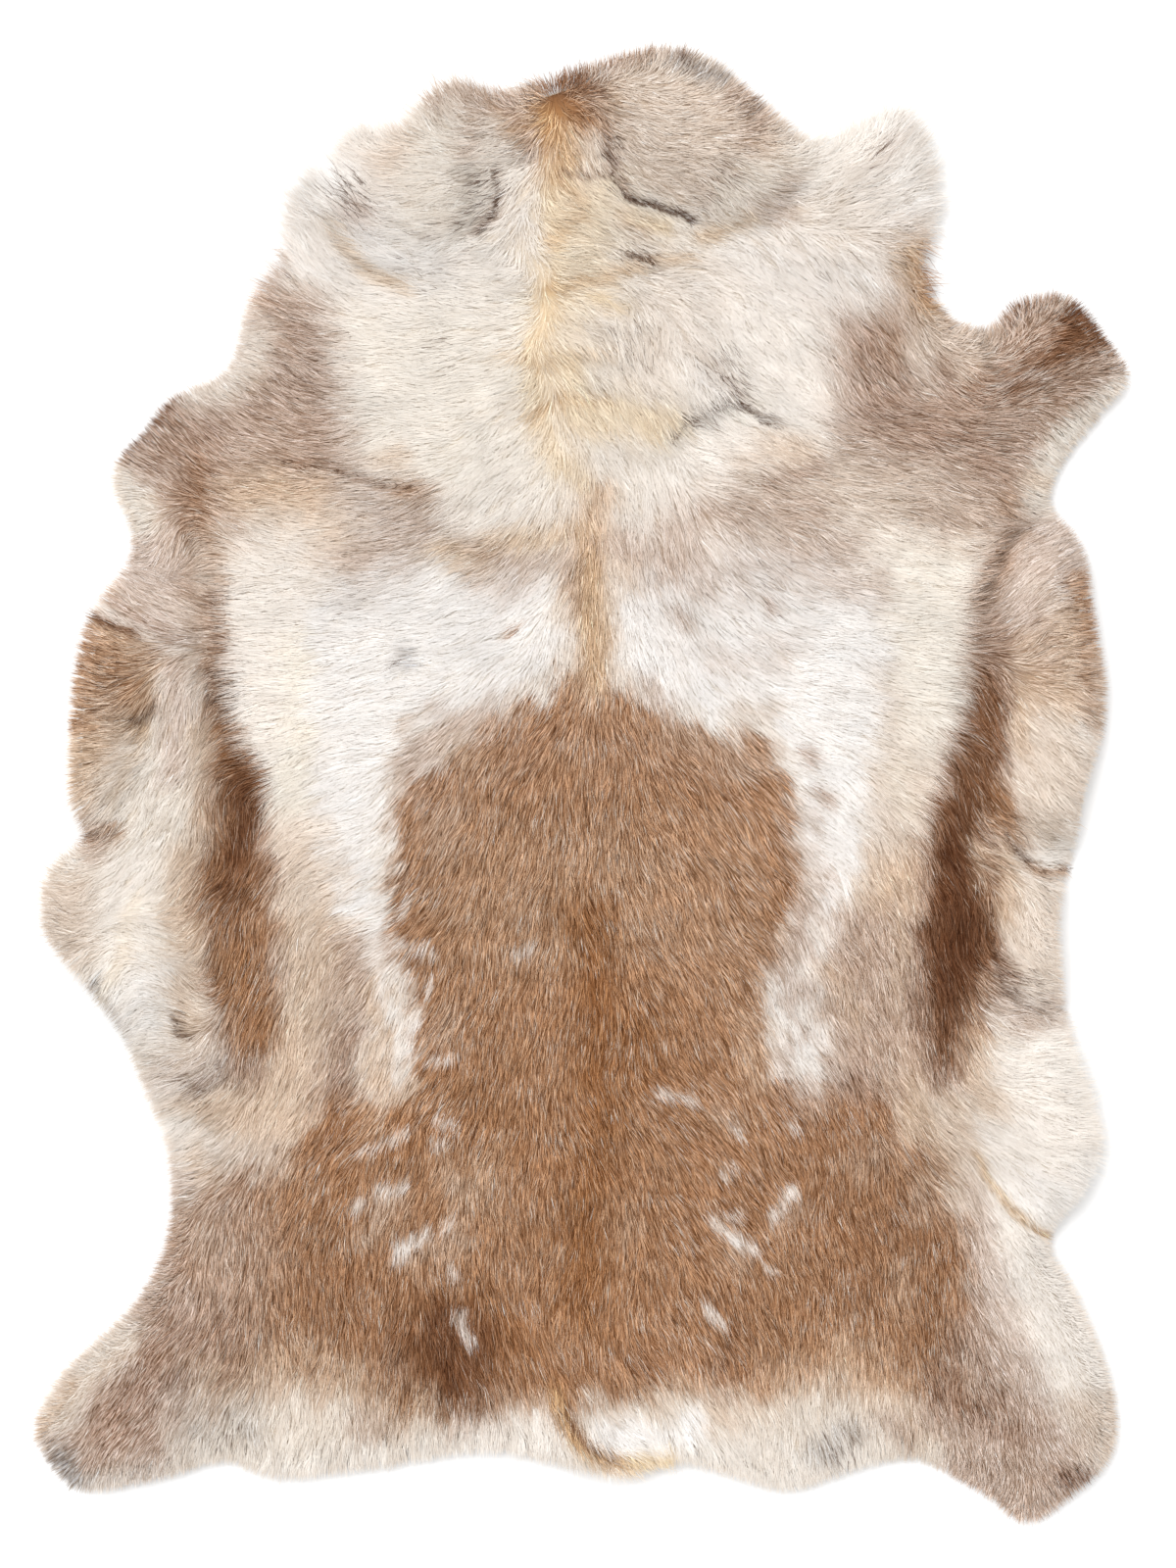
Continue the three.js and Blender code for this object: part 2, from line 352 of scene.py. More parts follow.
STROKE_FADE = 0.8                 # how steeply a stroke fades to its sides
FLECK_STRENGTH = 0.75
FLECK_RAGGED = 5.0
COAT_CLOUDS = ((45, 0.02, 31), (12, 0.025, 32))       # size, how strong, seed
BAND_SIZE, BAND_STRETCH, BAND_STRENGTH = 13, 4, 0.03  # faint bands across the back
BANDS_BELOW, BANDS_OVER = 215, 60  # in hair darker than the first, fully so by the second
BROWN_BELOW, BROWN_OVER = 228, 90  # hair starts to count as brown, and fully does, alike
BLOTS, FINE_BLOTS = (17, 0.6), (7, 0.5)     # size and strength of a ragged border's wandering

PATCHES = [
    # name, tone, strength, softness, raggedness, ring
    ("neck, warm middle", "oat", 0.8, 40, 10,
     [(-60, 505), (40, 500), (70, 440), (40, 385), (70, 320), (62, 280), (20, 240), (-30, 250),
      (-58, 320), (-52, 400)]),
    ("neck, left", "cream", 0.4, 40, 10,
     [(-205, 390), (-100, 400), (-50, 380), (-48, 290), (-25, 240), (-120, 225), (-200, 262)]),
    ("ruff, left", "ash", 0.5, 35, 8,
     [(-280, 440), (-215, 545), (-150, 520), (-130, 430), (-190, 400), (-260, 400)]),
    # Painted shade: the top of the left ruff is made darker, as the form there falls into shade.
    ("ruff, left, top", "dun", 0.2, 18, 8,
     [(-205, 500), (-165, 548), (-140, 530), (-150, 472), (-182, 462)]),
    # Painted light: paler to make up for the shade of the right ruff's curl.
    ("ruff, right", "white", 0.7, 26, 8,
     [(215, 500), (245, 555), (290, 530), (302, 440), (262, 424), (230, 450)]),
    # Painted light: paler to make up for the shade under the lobe.
    ("ruff, left, pale below the lobe", "white", 0.7, 22, 8,
     [(-206, 470), (-190, 425), (-150, 400), (-108, 404), (-104, 440), (-140, 446), (-172, 480)]),
    ("lobe beside the crown", "oat", 0.9, 22, 8,
     [(-152, 570), (-100, 588), (-74, 530), (-72, 500), (-95, 445), (-150, 445), (-160, 500)]),
    ("crown", "dun", 0.85, 14, 8,
     [(16, 592), (60, 612), (120, 592), (165, 552), (172, 500), (140, 478), (106, 452),
      (62, 474), (28, 490), (16, 520), (12, 560)]),
    # Painted light: paler to make up for the shade on the crown's steep lower side.
    ("crown, paler below", "oat", 0.9, 13, 8,
     [(104, 446), (80, 464), (96, 500), (120, 516), (175, 516), (172, 486), (140, 468)]),
    ("between the crown and the lobe", "fawn", 0.55, 14, 8,
     [(-98, 578), (-30, 570), (-10, 520), (-40, 500), (-66, 522)]),
    ("under the crown", "oat", 0.9, 14, 8,
     [(8, 500), (30, 478), (66, 468), (100, 446), (90, 420), (20, 415), (-10, 450)]),
    ("left shoulder", "fawn", 0.92, 34, 10,
     [(-330, 318), (-290, 325), (-262, 380), (-250, 396), (-226, 385), (-214, 340), (-210, 290),
      (-196, 262), (-200, 232), (-262, 232), (-304, 205), (-330, 205), (-350, 240), (-390, 262),
      (-372, 288)]),
    ("left shoulder, front", "taupe", 0.35, 20, 9,
     [(-244, 396), (-218, 385), (-214, 335), (-200, 268), (-226, 262), (-240, 300), (-236, 350)]),
    ("left foreleg", "taupe", 0.45, 16, 6,
     [(-350, 322), (-330, 318), (-300, 290), (-300, 250), (-322, 200), (-340, 205), (-352, 240),
      (-392, 262), (-368, 290)]),
    ("left shoulder, hind", "sand", 1.0, 26, 9,
     [(-298, 245), (-250, 262), (-215, 240), (-200, 205), (-230, 176), (-300, 190)]),
    ("under the left foreleg", "blush", 1.0, 9, 4,
     [(-372, 222), (-350, 226), (-326, 175), (-308, 120), (-345, 112), (-395, 142), (-412, 158),
      (-382, 180)]),
    ("left foreleg, pale edge", "oat", 1.0, 8, 3,
     [(-400, 268), (-384, 262), (-356, 228), (-352, 205), (-376, 200), (-388, 240)]),
    ("left belly, front lobe", "sand", 1.0, 7, 4,
     [(-412, 140), (-350, 108), (-350, 68), (-362, 36), (-376, 6), (-390, -26), (-404, -48),
      (-424, -5), (-430, 60), (-424, 115)]),
    ("left belly, front lobe, outer", "saddle", 0.7, 14, 8,
     [(-420, 136), (-368, 108), (-362, 76), (-384, 52), (-412, 38), (-434, 36), (-434, 110)]),
    ("left belly ridge", "oat", 1.0, 9, 5,
     [(-345, 104), (-320, 112), (-308, 60), (-314, 0), (-322, -60), (-330, -130), (-310, -200),
      (-300, -250), (-385, -240), (-420, -160), (-455, -130), (-450, -60), (-404, -46),
      (-380, -14), (-360, 30), (-350, 64)]),
    ("left belly ridge, crest", "blush", 0.9, 12, 6,
     [(-346, 100), (-330, 108), (-322, 60), (-330, 0), (-350, 0), (-345, 50)]),
    ("left belly, hind lobe", "milk", 0.9, 20, 6,
     [(-395, -58), (-350, -50), (-348, -130), (-348, -190), (-378, -225), (-415, -165)]),
    ("left belly, hind lobe, edge", "dun", 0.9, 14, 5,
     [(-432, -70), (-404, -78), (-400, -110), (-410, -150), (-456, -142), (-452, -95)]),
    ("left ridge, tan side", "sand", 0.75, 12, 7,
     [(-336, -50), (-318, -40), (-312, -110), (-312, -170), (-330, -165), (-342, -120)]),
    # Painted light: paler to make up for the shade of the whorl.
    ("left whorl, pale above", "white", 0.7, 16, 7,
     [(-374, -150), (-332, -146), (-326, -180), (-345, -215), (-374, -205)]),
    ("left cream flank", "milk", 0.9, 22, 8,
     [(-298, 210), (-265, 222), (-215, 215), (-212, 150), (-218, 60), (-222, 0),
      (-230, -50), (-262, -50), (-268, -10), (-284, 30), (-296, 80), (-302, 150)]),
    ("left flank, warm line", "cream", 0.7, 12, 8,
     [(-246, 120), (-226, 130), (-222, 40), (-224, -20), (-262, -40), (-262, 0), (-246, 40)]),
    ("left sandy strip, front", "sand", 0.5, 24, 8,
     [(-266, -30), (-228, -40), (-212, -90), (-200, -115), (-250, -140), (-268, -90)]),
    ("left sandy strip", "sand", 0.8, 16, 9,
     [(-262, -110), (-214, -100), (-196, -120), (-186, -160), (-192, -250), (-205, -300),
      (-262, -300), (-345, -262), (-290, -240), (-256, -205), (-250, -150)]),
    ("left sandy strip, brown side", "fawn", 0.7, 16, 12,
     [(-204, -118), (-184, -118), (-172, -165), (-186, -210), (-190, -262), (-230, -290),
      (-225, -240), (-212, -180)]),
    ("left sandy strip, brown end", "taupe", 0.6, 10, 14,
     [(-208, -196), (-190, -200), (-190, -262), (-214, -262)]),
    ("left flank streak, soft edge", "taupe", 0.7, 10, 9,
     [(-304, 60), (-284, 40), (-268, 0), (-262, -50), (-258, -100), (-254, -150), (-256, -215),
      (-268, -244), (-286, -250), (-298, -232), (-306, -205), (-310, -170), (-314, -130),
      (-312, -90), (-304, -50), (-300, 0)]),
    ("left flank streak", "saddle", 0.95, 11, 9,
     [(-303, 58), (-284, 24), (-270, 0), (-266, -60), (-256, -110), (-250, -150), (-254, -215),
      (-284, -222), (-296, -190), (-310, -150), (-316, -100), (-314, -66), (-308, -32),
      (-298, -6), (-297, 12), (-304, 36)]),
    ("left flank streak, dark side", "bark", 0.7, 13, 8,
     [(-296, 42), (-284, 26), (-268, 0), (-268, -40), (-270, -90), (-290, -122), (-308, -105),
      (-304, -40), (-296, 0)]),
    ("left flank streak, darkest", "umber", 0.55, 9, 6,
     [(-288, 24), (-280, 14), (-268, -10), (-270, -46), (-284, -60), (-296, -90), (-296, -50),
      (-290, 0)]),
    ("right shoulder", "fawn", 1.0, 30, 10,
     [(205, 384), (230, 375), (250, 400), (255, 440), (280, 432), (290, 400), (325, 380),
      (345, 398), (372, 406), (400, 400), (450, 338), (404, 300), (382, 256), (356, 205),
      (318, 215), (280, 232), (226, 240), (200, 262), (206, 310)]),
    ("right shoulder, front", "taupe", 0.35, 26, 9,
     [(204, 372), (240, 388), (256, 350), (270, 316), (330, 308), (352, 262), (330, 240),
      (262, 272), (208, 282)]),
    ("right shoulder, hind", "dun", 0.85, 30, 12,
     [(120, 262), (215, 276), (262, 262), (340, 235), (345, 190), (262, 196), (200, 206),
      (120, 225)]),
    ("right shoulder, hind, brown", "fawn", 0.45, 18, 12,
     [(262, 236), (345, 240), (342, 195), (306, 198), (270, 214)]),
    ("right foreleg, inner", "dun", 0.85, 14, 6,
     [(258, 385), (290, 398), (328, 368), (322, 335), (300, 322), (262, 345)]),
    ("right foreleg, dark band", "bark", 0.9, 16, 6,
     [(305, 318), (322, 330), (366, 350), (390, 394), (408, 394), (436, 356), (400, 344),
      (350, 312)]),
    ("right foreleg, point", "umber", 0.7, 10, 4,
     [(386, 376), (400, 402), (432, 366), (404, 372)]),
    ("right foreleg, rear", "fawn", 0.5, 16, 5,
     [(330, 300), (400, 340), (440, 340), (400, 306), (362, 262), (340, 262)]),
    ("right foreleg, rear edge", "oat", 1.0, 10, 4,
     [(452, 340), (424, 322), (376, 290), (352, 250), (350, 212), (384, 226), (392, 262),
      (428, 304)]),
    ("right cream flank", "cream", 0.5, 20, 7,
     [(240, 200), (300, 200), (322, 190), (316, 150), (310, 100), (300, 50), (284, 20),
      (262, -20), (245, -12), (240, 40), (240, 120)]),
    ("right sandy strip, front", "dun", 0.9, 30, 9,
     [(236, 30), (286, 20), (284, -90), (224, -90)]),
    ("right sandy strip", "sand", 0.95, 20, 9,
     [(230, -60), (278, -50), (272, -150), (268, -200), (290, -240), (306, -262), (304, -298),
      (262, -278), (232, -250), (210, -238), (200, -150), (214, -112)]),
    ("right sandy strip, brown side", "fawn", 0.8, 15, 14,
     [(200, -104), (250, -96), (262, -240), (225, -268), (194, -256), (192, -160)]),
    ("right flank streak, soft edge", "taupe", 0.9, 10, 7,
     [(326, 150), (350, 114), (348, 60), (340, 10), (326, -30), (334, -60), (338, -150),
      (324, -200), (310, -250), (276, -250), (258, -200), (262, -120), (270, -40), (282, 0),
      (302, 44), (304, 80), (310, 110), (319, 135)]),
    ("right flank streak", "bark", 0.9, 9, 7,
     [(314, 96), (328, 84), (338, 60), (338, 15), (322, -30), (332, -80), (334, -138), (324, -158),
      (308, -178), (308, -205), (302, -236), (284, -225), (274, -160), (276, -90), (281, -30),
      (298, 16), (312, 48), (308, 76)]),
    ("right flank streak, dark", "umber", 0.78, 11, 9,
     [(304, -10), (308, -30), (304, -60), (314, -100), (324, -120), (314, -150), (302, -170),
      (296, -200), (280, -170), (280, -110), (286, -50)]),
    ("right flank streak, sandy gap", "sand", 0.75, 8, 6,
     [(308, -42), (328, -46), (334, -68), (328, -98), (316, -84)]),
    ("right belly, front band", "blush", 1.0, 9, 5,
     [(352, 208), (388, 222), (412, 190), (404, 150), (372, 126), (345, 118), (330, 146),
      (338, 180)]),
    ("right belly, front lobe", "sand", 0.9, 14, 6,
     [(346, 118), (372, 128), (400, 150), (400, 60), (350, 10), (348, 60)]),
    ("right belly, front lobe, pale", "linen", 1.0, 14, 6,
     [(350, 64), (376, 60), (392, 44), (430, 30), (424, -50), (352, -36), (342, 0), (346, 40)]),
    ("right belly, outer edge", "saddle", 0.85, 9, 6,
     [(392, 168), (402, 172), (424, 140), (438, 70), (424, 30), (404, 56), (397, 110),
      (392, 150)]),
    ("right belly, behind the tuck", "linen", 0.9, 9, 5,
     [(334, -52), (350, -74), (396, -72), (396, -190), (345, -165), (334, -120)]),
    ("right belly, hind lobe", "milk", 1.0, 8, 4,
     [(318, -206), (396, -200), (420, -250), (434, -295), (410, -345), (376, -368), (340, -338),
      (312, -300), (308, -250)]),
    ("right hind leg, pale", "milk", 0.9, 10, 5,
     [(304, -284), (318, -300), (345, -350), (378, -372), (412, -450), (440, -515), (430, -556),
      (402, -556), (376, -500), (350, -440), (322, -400), (304, -350)]),
    ("right hind leg, rosy", "blush", 0.8, 14, 5,
     [(306, -320), (320, -330), (338, -400), (366, -480), (390, -545), (360, -520), (330, -440),
      (306, -400)]),
]
SADDLE = [
    (0, 100), (12, 92), (36, 66), (60, 60), (84, 50), (112, 40), (136, 34), (154, 14), (164, -20),
    (171, -58), (174, -88), (154, -114), (150, -140), (144, -172), (138, -224), (160, -242),
    (186, -250), (226, -256), (246, -270), (272, -292), (296, -310), (300, -350), (310, -400),
    (320, -440), (310, -510), (260, -500), (200, -498), (100, -500), (50, -504), (10, -500),
    (-24, -506), (-70, -512), (-110, -526), (-190, -510), (-240, -500), (-300, -510),
    (-322, -420), (-340, -390), (-335, -345), (-290, -318), (-240, -296), (-216, -262),
    (-192, -258), (-164, -256), (-142, -232), (-138, -206), (-146, -182), (-154, -142),
    (-162, -90), (-158, -30), (-138, -2), (-112, 22), (-86, 44), (-60, 58), (-36, 76), (-18, 92)]
PATCHES += [
    ("saddle", "saddle", 1.0, 7, 13, SADDLE),
    ("saddle, pale front", "fawn", 0.2, 26, 14,
     [(-60, 40), (0, 70), (70, 50), (140, 30), (130, -10), (60, 0), (-60, 0), (-140, 0)]),
    ("saddle, pale middle", "sand", 0.22, 40, 14,
     [(-140, -30), (140, -30), (140, -180), (60, -150), (-60, -160), (-130, -140)]),
    ("saddle, dark hind left", "chestnut", 0.2, 30, 12,
     [(-205, -265), (-120, -245), (-60, -240), (-20, -300), (-120, -320), (-190, -320)]),
    ("saddle, dark hind right", "bark", 0.25, 24, 12,
     [(160, -262), (215, -250), (240, -300), (170, -310)]),
    ("saddle, dark rump", "bark", 0.2, 30, 14,
     [(-250, -370), (-200, -370), (-150, -420), (-60, -440), (-60, -490), (-170, -490),
      (-240, -440)]),
    ("saddle, dark beside the hollow", "chestnut", 0.6, 20, 14,
     [(-140, -420), (-60, -420), (-40, -470), (-60, -500), (-140, -496)]),
    ("saddle, right corner", "sand", 0.9, 14, 14,
     [(236, -246), (300, -262), (306, -345), (286, -330), (266, -295)]),
    ("saddle, pale left", "sand", 0.35, 16, 14,
     [(-120, -305), (-70, -300), (-68, -360), (-116, -362)]),
    ("right haunch", "bark", 0.25, 40, 12,
     [(190, -330), (300, -300), (300, -440), (250, -460), (195, -420)]),
    ("left haunch", "fawn", 0.75, 40, 12,
     [(-360, -320), (-272, -310), (-255, -380), (-272, -450), (-350, -480), (-400, -420)]),
    ("left hind leg", "taupe", 0.8, 30, 8,
     [(-345, -430), (-280, -440), (-262, -520), (-350, -560), (-450, -545), (-400, -480)]),
    ("rump, soft lower edge", "sand", 0.7, 26, 20,
     [(-330, -474), (-286, -474), (-226, -464), (-196, -476), (-160, -496), (-110, -514),
      (-84, -506), (0, -516), (80, -490), (130, -490), (190, -470), (236, -466), (262, -490),
      (300, -520), (290, -545), (-300, -545)]),
    ("left white", "white", 1.0, 7, 13,
     [(-34, 158), (-26, 135), (-22, 108), (-42, 88), (-70, 72), (-100, 62), (-148, 44),
      (-166, 6), (-170, -20), (-174, -60), (-174, -92), (-166, -130), (-184, -122), (-202, -102),
      (-216, -66), (-222, -20), (-224, 60), (-228, 120), (-224, 150), (-196, 162), (-152, 188),
      (-122, 178), (-80, 168), (-48, 172)]),
    ("left white, hind end", "white", 0.6, 9, 24,
     [(-170, -90), (-162, -138), (-150, -170), (-142, -214), (-148, -240), (-166, -264),
      (-180, -250), (-178, -215), (-180, -170), (-194, -122)]),
    ("right white, hind end", "white", 0.7, 8, 24,
     [(186, -100), (166, -112), (160, -150), (150, -190), (138, -222), (156, -242), (176, -250),
      (184, -232), (186, -206), (182, -160), (186, -130)]),
    ("right white", "white", 1.0, 7, 13,
     [(20, 162), (16, 112), (38, 84), (62, 72), (86, 58), (122, 52), (150, 46), (166, 12),
      (172, -30), (184, -70), (188, -92), (190, -106), (198, -110), (206, -96), (220, -60),
      (228, -10), (236, 40), (242, 90), (238, 140), (216, 176), (190, 190), (132, 200), (100, 188),
      (60, 172), (34, 176)]),
    ("right white, mottled edge", "fawn", 0.45, 8, 20,
     [(158, 10), (172, -10), (186, -60), (200, -100), (186, -112), (164, -70)]),
    ("left white, pale strand", "sand", 0.35, 10, 24,
     [(-226, -20), (-200, -60), (-184, -110), (-200, -110), (-222, -70)]),
    ("left white, mottled edge", "fawn", 0.6, 12, 18,
     [(-162, 0), (-150, 34), (-110, 52), (-60, 70), (-70, 48), (-110, 30), (-130, 8), (-160, -30)]),
    ("rump's lower edge", "oat", 0.9, 26, 14,
     [(-340, -532), (-272, -496), (-235, -496), (-210, -498), (-176, -516), (-110, -528),
      (-84, -516), (-24, -516), (13, -516), (50, -512), (80, -498), (104, -522), (150, -510),
      (204, -490), (230, -504), (256, -532), (294, -556), (285, -570), (230, -575), (170, -595),
      (100, -585), (40, -580), (-10, -575), (-80, -565), (-160, -575), (-260, -585),
      (-340, -570)]),
    ("rump's lower edge, white", "milk", 0.6, 14, 8,
     [(-270, -548), (-160, -540), (-60, -532), (40, -536), (120, -528), (230, -545), (240, -600),
      (-280, -600)]),
    ("white beside the tail", "white", 1.0, 8, 6,
     [(6, -514), (36, -514), (62, -526), (90, -506), (98, -532), (60, -556), (34, -556),
      (2, -535)]),
    ("cream beside the tail", "milk", 0.9, 12, 5,
     [(-112, -516), (-60, -508), (-30, -506), (-24, -540), (-60, -560), (-115, -560)]),
    ("right hind leg, lower", "taupe", 0.85, 16, 6,
     [(270, -490), (300, -440), (325, -455), (350, -500), (376, -542), (346, -552), (312, -538),
      (274, -520)]),
    ("right hind foot", "fawn", 0.85, 12, 6,
     [(290, -532), (330, -542), (380, -548), (408, -572), (388, -604), (360, -616), (325, -602),
      (288, -572)]),
    ("right hind leg, sole", "dun", 0.8, 12, 5,
     [(380, -500), (440, -500), (432, -556), (404, -560)]),
]
STROKES = [
    # name, tone, strength, half width, raggedness, path
    ("spine", "sand", 0.95, 16, 7, [(4, 232), (0, 190), (-3, 150), (2, 120), (2, 86)]),
    ("spine, dark line", "ochre", 0.5, 8, 6, [(2, 190), (0, 150), (4, 120), (4, 86)]),
    ("across the withers, left", "ochre", 0.45, 11, 9,
     [(-10, 206), (-60, 200), (-96, 182), (-120, 190)]),
    ("across the withers, left, hind", "fawn", 0.5, 12, 10, [(-100, 190), (-60, 178), (-20, 182)]),
    ("across the withers, right", "fawn", 0.6, 12, 10, [(16, 196), (52, 184), (84, 186)]),
    ("left mottle", "taupe", 0.45, 17, 11, [(-168, 224), (-134, 214)]),
    ("left mottle, hind", "fawn", 0.6, 18, 12, [(-192, 182), (-160, 190)]),
    ("right mottle", "fawn", 0.6, 15, 11, [(66, 208), (110, 224), (180, 222)]),
    ("right mottle, middle", "fawn", 0.55, 12, 11, [(120, 206), (170, 196), (210, 192)]),
    ("right white, front mottle", "fawn", 0.5, 10, 12, [(52, 160), (64, 170), (96, 164)]),
    ("left white, front mottle", "fawn", 0.35, 9, 12, [(-90, 164), (-66, 156)]),
    ("saddle, torn front", "fawn", 0.5, 8, 10, [(44, 82), (60, 66)]),
    ("saddle, torn front, right", "dun", 0.6, 9, 10, [(124, 60), (144, 56)]),
    ("rump's brown corner", "chestnut", 0.6, 12, 10, [(-216, -270), (-196, -268)]),
    ("left haunch, pale cloud", "dun", 0.3, 16, 12, [(-318, -350), (-312, -384)]),
    ("right haunch, pale cloud", "sand", 0.35, 13, 12, [(252, -400), (250, -424)]),
    ("right cream, warm line", "dun", 0.4, 9, 8, [(240, 92), (246, 48)]),
    # Painted shade in the rump's hollow.
    ("rump hollow, left side", "umber", 0.7, 12, 8, [(-98, -450), (-94, -466)]),
    ("right cream, pale", "cream", 0.5, 11, 8, [(252, 12), (256, -20)]),
    ("left cream, pale hind end", "linen", 0.5, 10, 8, [(-228, -100), (-230, -124)]),
    ("saddle, pale right edge", "sand", 0.4, 8, 10, [(130, -188), (132, -210)]),
    ("saddle, pale left edge", "sand", 0.4, 11, 10, [(-106, 32), (-96, 20)]),
    ("right white, brown point", "fawn", 0.5, 7, 8, [(152, -218), (164, -234)]),
    ("right flank, brown end", "chestnut", 0.5, 7, 7, [(314, -180), (314, -206)]),
    ("left haunch, sandy corner", "sand", 0.6, 10, 8, [(-320, -304), (-310, -320)]),
    ("left white's sandy end", "sand", 0.4, 10, 10, [(-182, -262), (-176, -280)]),
    ("right haunch, brown top", "chestnut", 0.4, 9, 8, [(220, -246), (232, -252)]),
    ("right haunch, oat top", "oat", 0.5, 9, 8, [(278, -256), (286, -270)]),
    ("right haunch, oat side", "oat", 0.5, 9, 8, [(308, -300), (306, -316)]),
    ("rump's pale cloud, low left", "dun", 0.4, 10, 10, [(-142, -390), (-110, -374)]),
    ("rump's pale cloud, right", "dun", 0.4, 9, 8, [(160, -358), (168, -346)]),
    ("right hind lobe, low", "milk", 0.5, 10, 6, [(366, -358), (384, -370)]),
    ("rump, pale low right", "sand", 0.45, 12, 10, [(204, -464), (218, -472)]),
    ("rump, pale low left", "sand", 0.4, 12, 10, [(-212, -474), (-206, -488)]),
    ("rump's edge, brown left", "taupe", 0.35, 12, 10, [(-186, -526), (-168, -522)]),
    ("rump's edge, brown by the hollow", "fawn", 0.4, 9, 8, [(-112, -524), (-98, -520)]),
    ("rump's edge, pale by the tail", "dun", 0.45, 8, 8, [(-86, -504), (-80, -514)]),
    ("pale above the white", "linen", 0.5, 9, 6, [(8, -506), (28, -504)]),
    ("sandy beside the white", "sand", 0.4, 7, 5, [(97, -510), (100, -528)]),
    ("right hind leg, brown root", "taupe", 0.45, 9, 8, [(242, -524), (256, -530)]),
    ("left hind leg, pale sole", "oat", 0.5, 7, 5, [(-400, -570), (-388, -562)]),
    ("crown, pale side", "sand", 0.6, 6, 5, [(10, 568), (24, 552)]),
    ("right ruff, straw", "sand", 0.2, 9, 8, [(140, 522), (148, 530)]),
    ("crown, sandy side", "linen", 0.4, 9, 8, [(112, 512), (132, 524)]),
    ("beside the lobe, shade", "taupe", 0.4, 8, 6, [(-98, 544), (-94, 516)]),
    ("mane's left root", "fawn", 0.35, 6, 6, [(-36, 512), (-32, 500)]),
    ("mane's grey side", "ash", 0.4, 8, 8, [(-58, 476), (-57, 458)]),
    ("mane's sandy knot", "straw", 0.6, 6, 6, [(6, 394), (24, 388)]),
    ("right shoulder, brown side", "taupe", 0.45, 10, 9, [(218, 350), (236, 372)]),
    ("right foreleg, brown top", "taupe", 0.6, 9, 6, [(298, 388), (336, 386), (374, 400)]),
    ("left neck's foot", "sand", 0.45, 9, 8, [(-168, 262), (-150, 262)]),
    ("right neck, pale fold", "cream", 0.5, 8, 7, [(120, 304), (136, 314)]),
    ("right lobe's sandy front", "sand", 0.5, 8, 6, [(360, 250), (372, 244)]),
    ("left ridge, pale front", "linen", 0.45, 9, 6, [(-328, 142), (-324, 126)]),
    ("left lobe, pale middle", "dun", 0.4, 9, 6, [(-392, 66), (-388, 50)]),
    ("right cream's outer side", "linen", 0.5, 7, 6, [(306, 108), (306, 88)]),
    ("left white, inner edge", "white", 0.45, 8, 8, [(-88, 70), (-72, 62)]),
    ("saddle, pale front", "dun", 0.35, 10, 9, [(64, 40), (82, 36)]),
    ("right lobe's pale rim, hind", "oat", 0.5, 8, 5, [(416, 66), (418, 48)]),
    ("left streak's brown side", "fawn", 0.55, 9, 8, [(-254, -132), (-254, -150)]),
    ("right belly, pale fold", "linen", 0.5, 8, 7, [(360, -156), (374, -154)]),
    ("left whorl's pale side", "dun", 0.45, 7, 6, [(-302, -194), (-302, -210)]),
    ("saddle, pale cloud left", "dun", 0.35, 11, 10, [(-118, -186), (-120, -204)]),
    ("right sandy strip, brown", "fawn", 0.45, 8, 9, [(198, -160), (198, -176)]),
    ("right flank's end, pale", "sand", 0.4, 6, 6, [(321, -162), (320, -174)]),
    ("left haunch, dark top", "bark", 0.4, 9, 9, [(-204, -286), (-194, -294)]),
    ("back, brown clouds", "chestnut", 0.4, 10, 10, [(80, -252), (90, -262)]),
    ("back, brown clouds, right", "chestnut", 0.4, 9, 9, [(166, -324), (172, -336)]),
    ("back, brown clouds, left", "chestnut", 0.4, 9, 9, [(-192, -336), (-186, -350)]),
    ("back, pale clouds", "dun", 0.35, 10, 10, [(104, -264), (116, -272)]),
    ("back, pale clouds, right", "dun", 0.35, 12, 10, [(222, -308), (246, -294)]),
    ("back, pale clouds, left", "dun", 0.35, 10, 10, [(-112, -320), (-108, -334)]),
    ("back, pale clouds, middle", "dun", 0.3, 10, 10, [(22, -350), (30, -362)]),
    ("back, pale clouds, hind", "dun", 0.35, 8, 8, [(114, -386), (122, -396)]),
    ("right haunch, pale side", "dun", 0.35, 10, 9, [(268, -334), (272, -350)]),
    ("rump hollow's pale side", "dun", 0.4, 9, 9, [(-160, -464), (-152, -478)]),
    ("rump, brown low", "bark", 0.4, 10, 9, [(36, -464), (48, -474)]),
    ("right hind leg, brown side", "taupe", 0.4, 9, 7, [(318, -424), (318, -442)]),
    ("right hind leg, pale side", "dun", 0.45, 9, 8, [(308, -474), (312, -490)]),
    ("tail's brown root", "fawn", 0.45, 6, 6, [(-34, -502), (-30, -512)]),
    ("left ruff's shade", "taupe", 0.45, 9, 8, [(-188, 466), (-176, 458)]),
    ("left shoulder, brown front", "taupe", 0.4, 9, 8, [(-226, 370), (-224, 350)]),
    ("left shoulder, sandy front", "sand", 0.6, 8, 6, [(-276, 400), (-266, 394)]),
    ("right shoulder, brown front", "taupe", 0.45, 9, 8, [(272, 396), (276, 384)]),
    ("right foreleg, brown root", "taupe", 0.5, 9, 8, [(288, 342), (294, 328)]),
    ("left shoulder, brown low", "fawn", 0.45, 10, 8, [(-294, 216), (-286, 206)]),
    ("left foreleg, brown root", "taupe", 0.5, 8, 6, [(-336, 312), (-330, 298)]),
    ("right neck's foot", "sand", 0.45, 12, 8, [(150, 272), (166, 268)]),
    ("right mottle, gap", "oat", 0.4, 9, 10, [(130, 204), (144, 200)]),
    # Painted shadow at the end of the right trough.
    ("right trough, brown end", "chestnut", 0.35, 7, 6, [(340, 234), (342, 220)]),
    ("left front lobe, brown", "taupe", 0.5, 9, 6, [(-410, 112), (-414, 94)]),
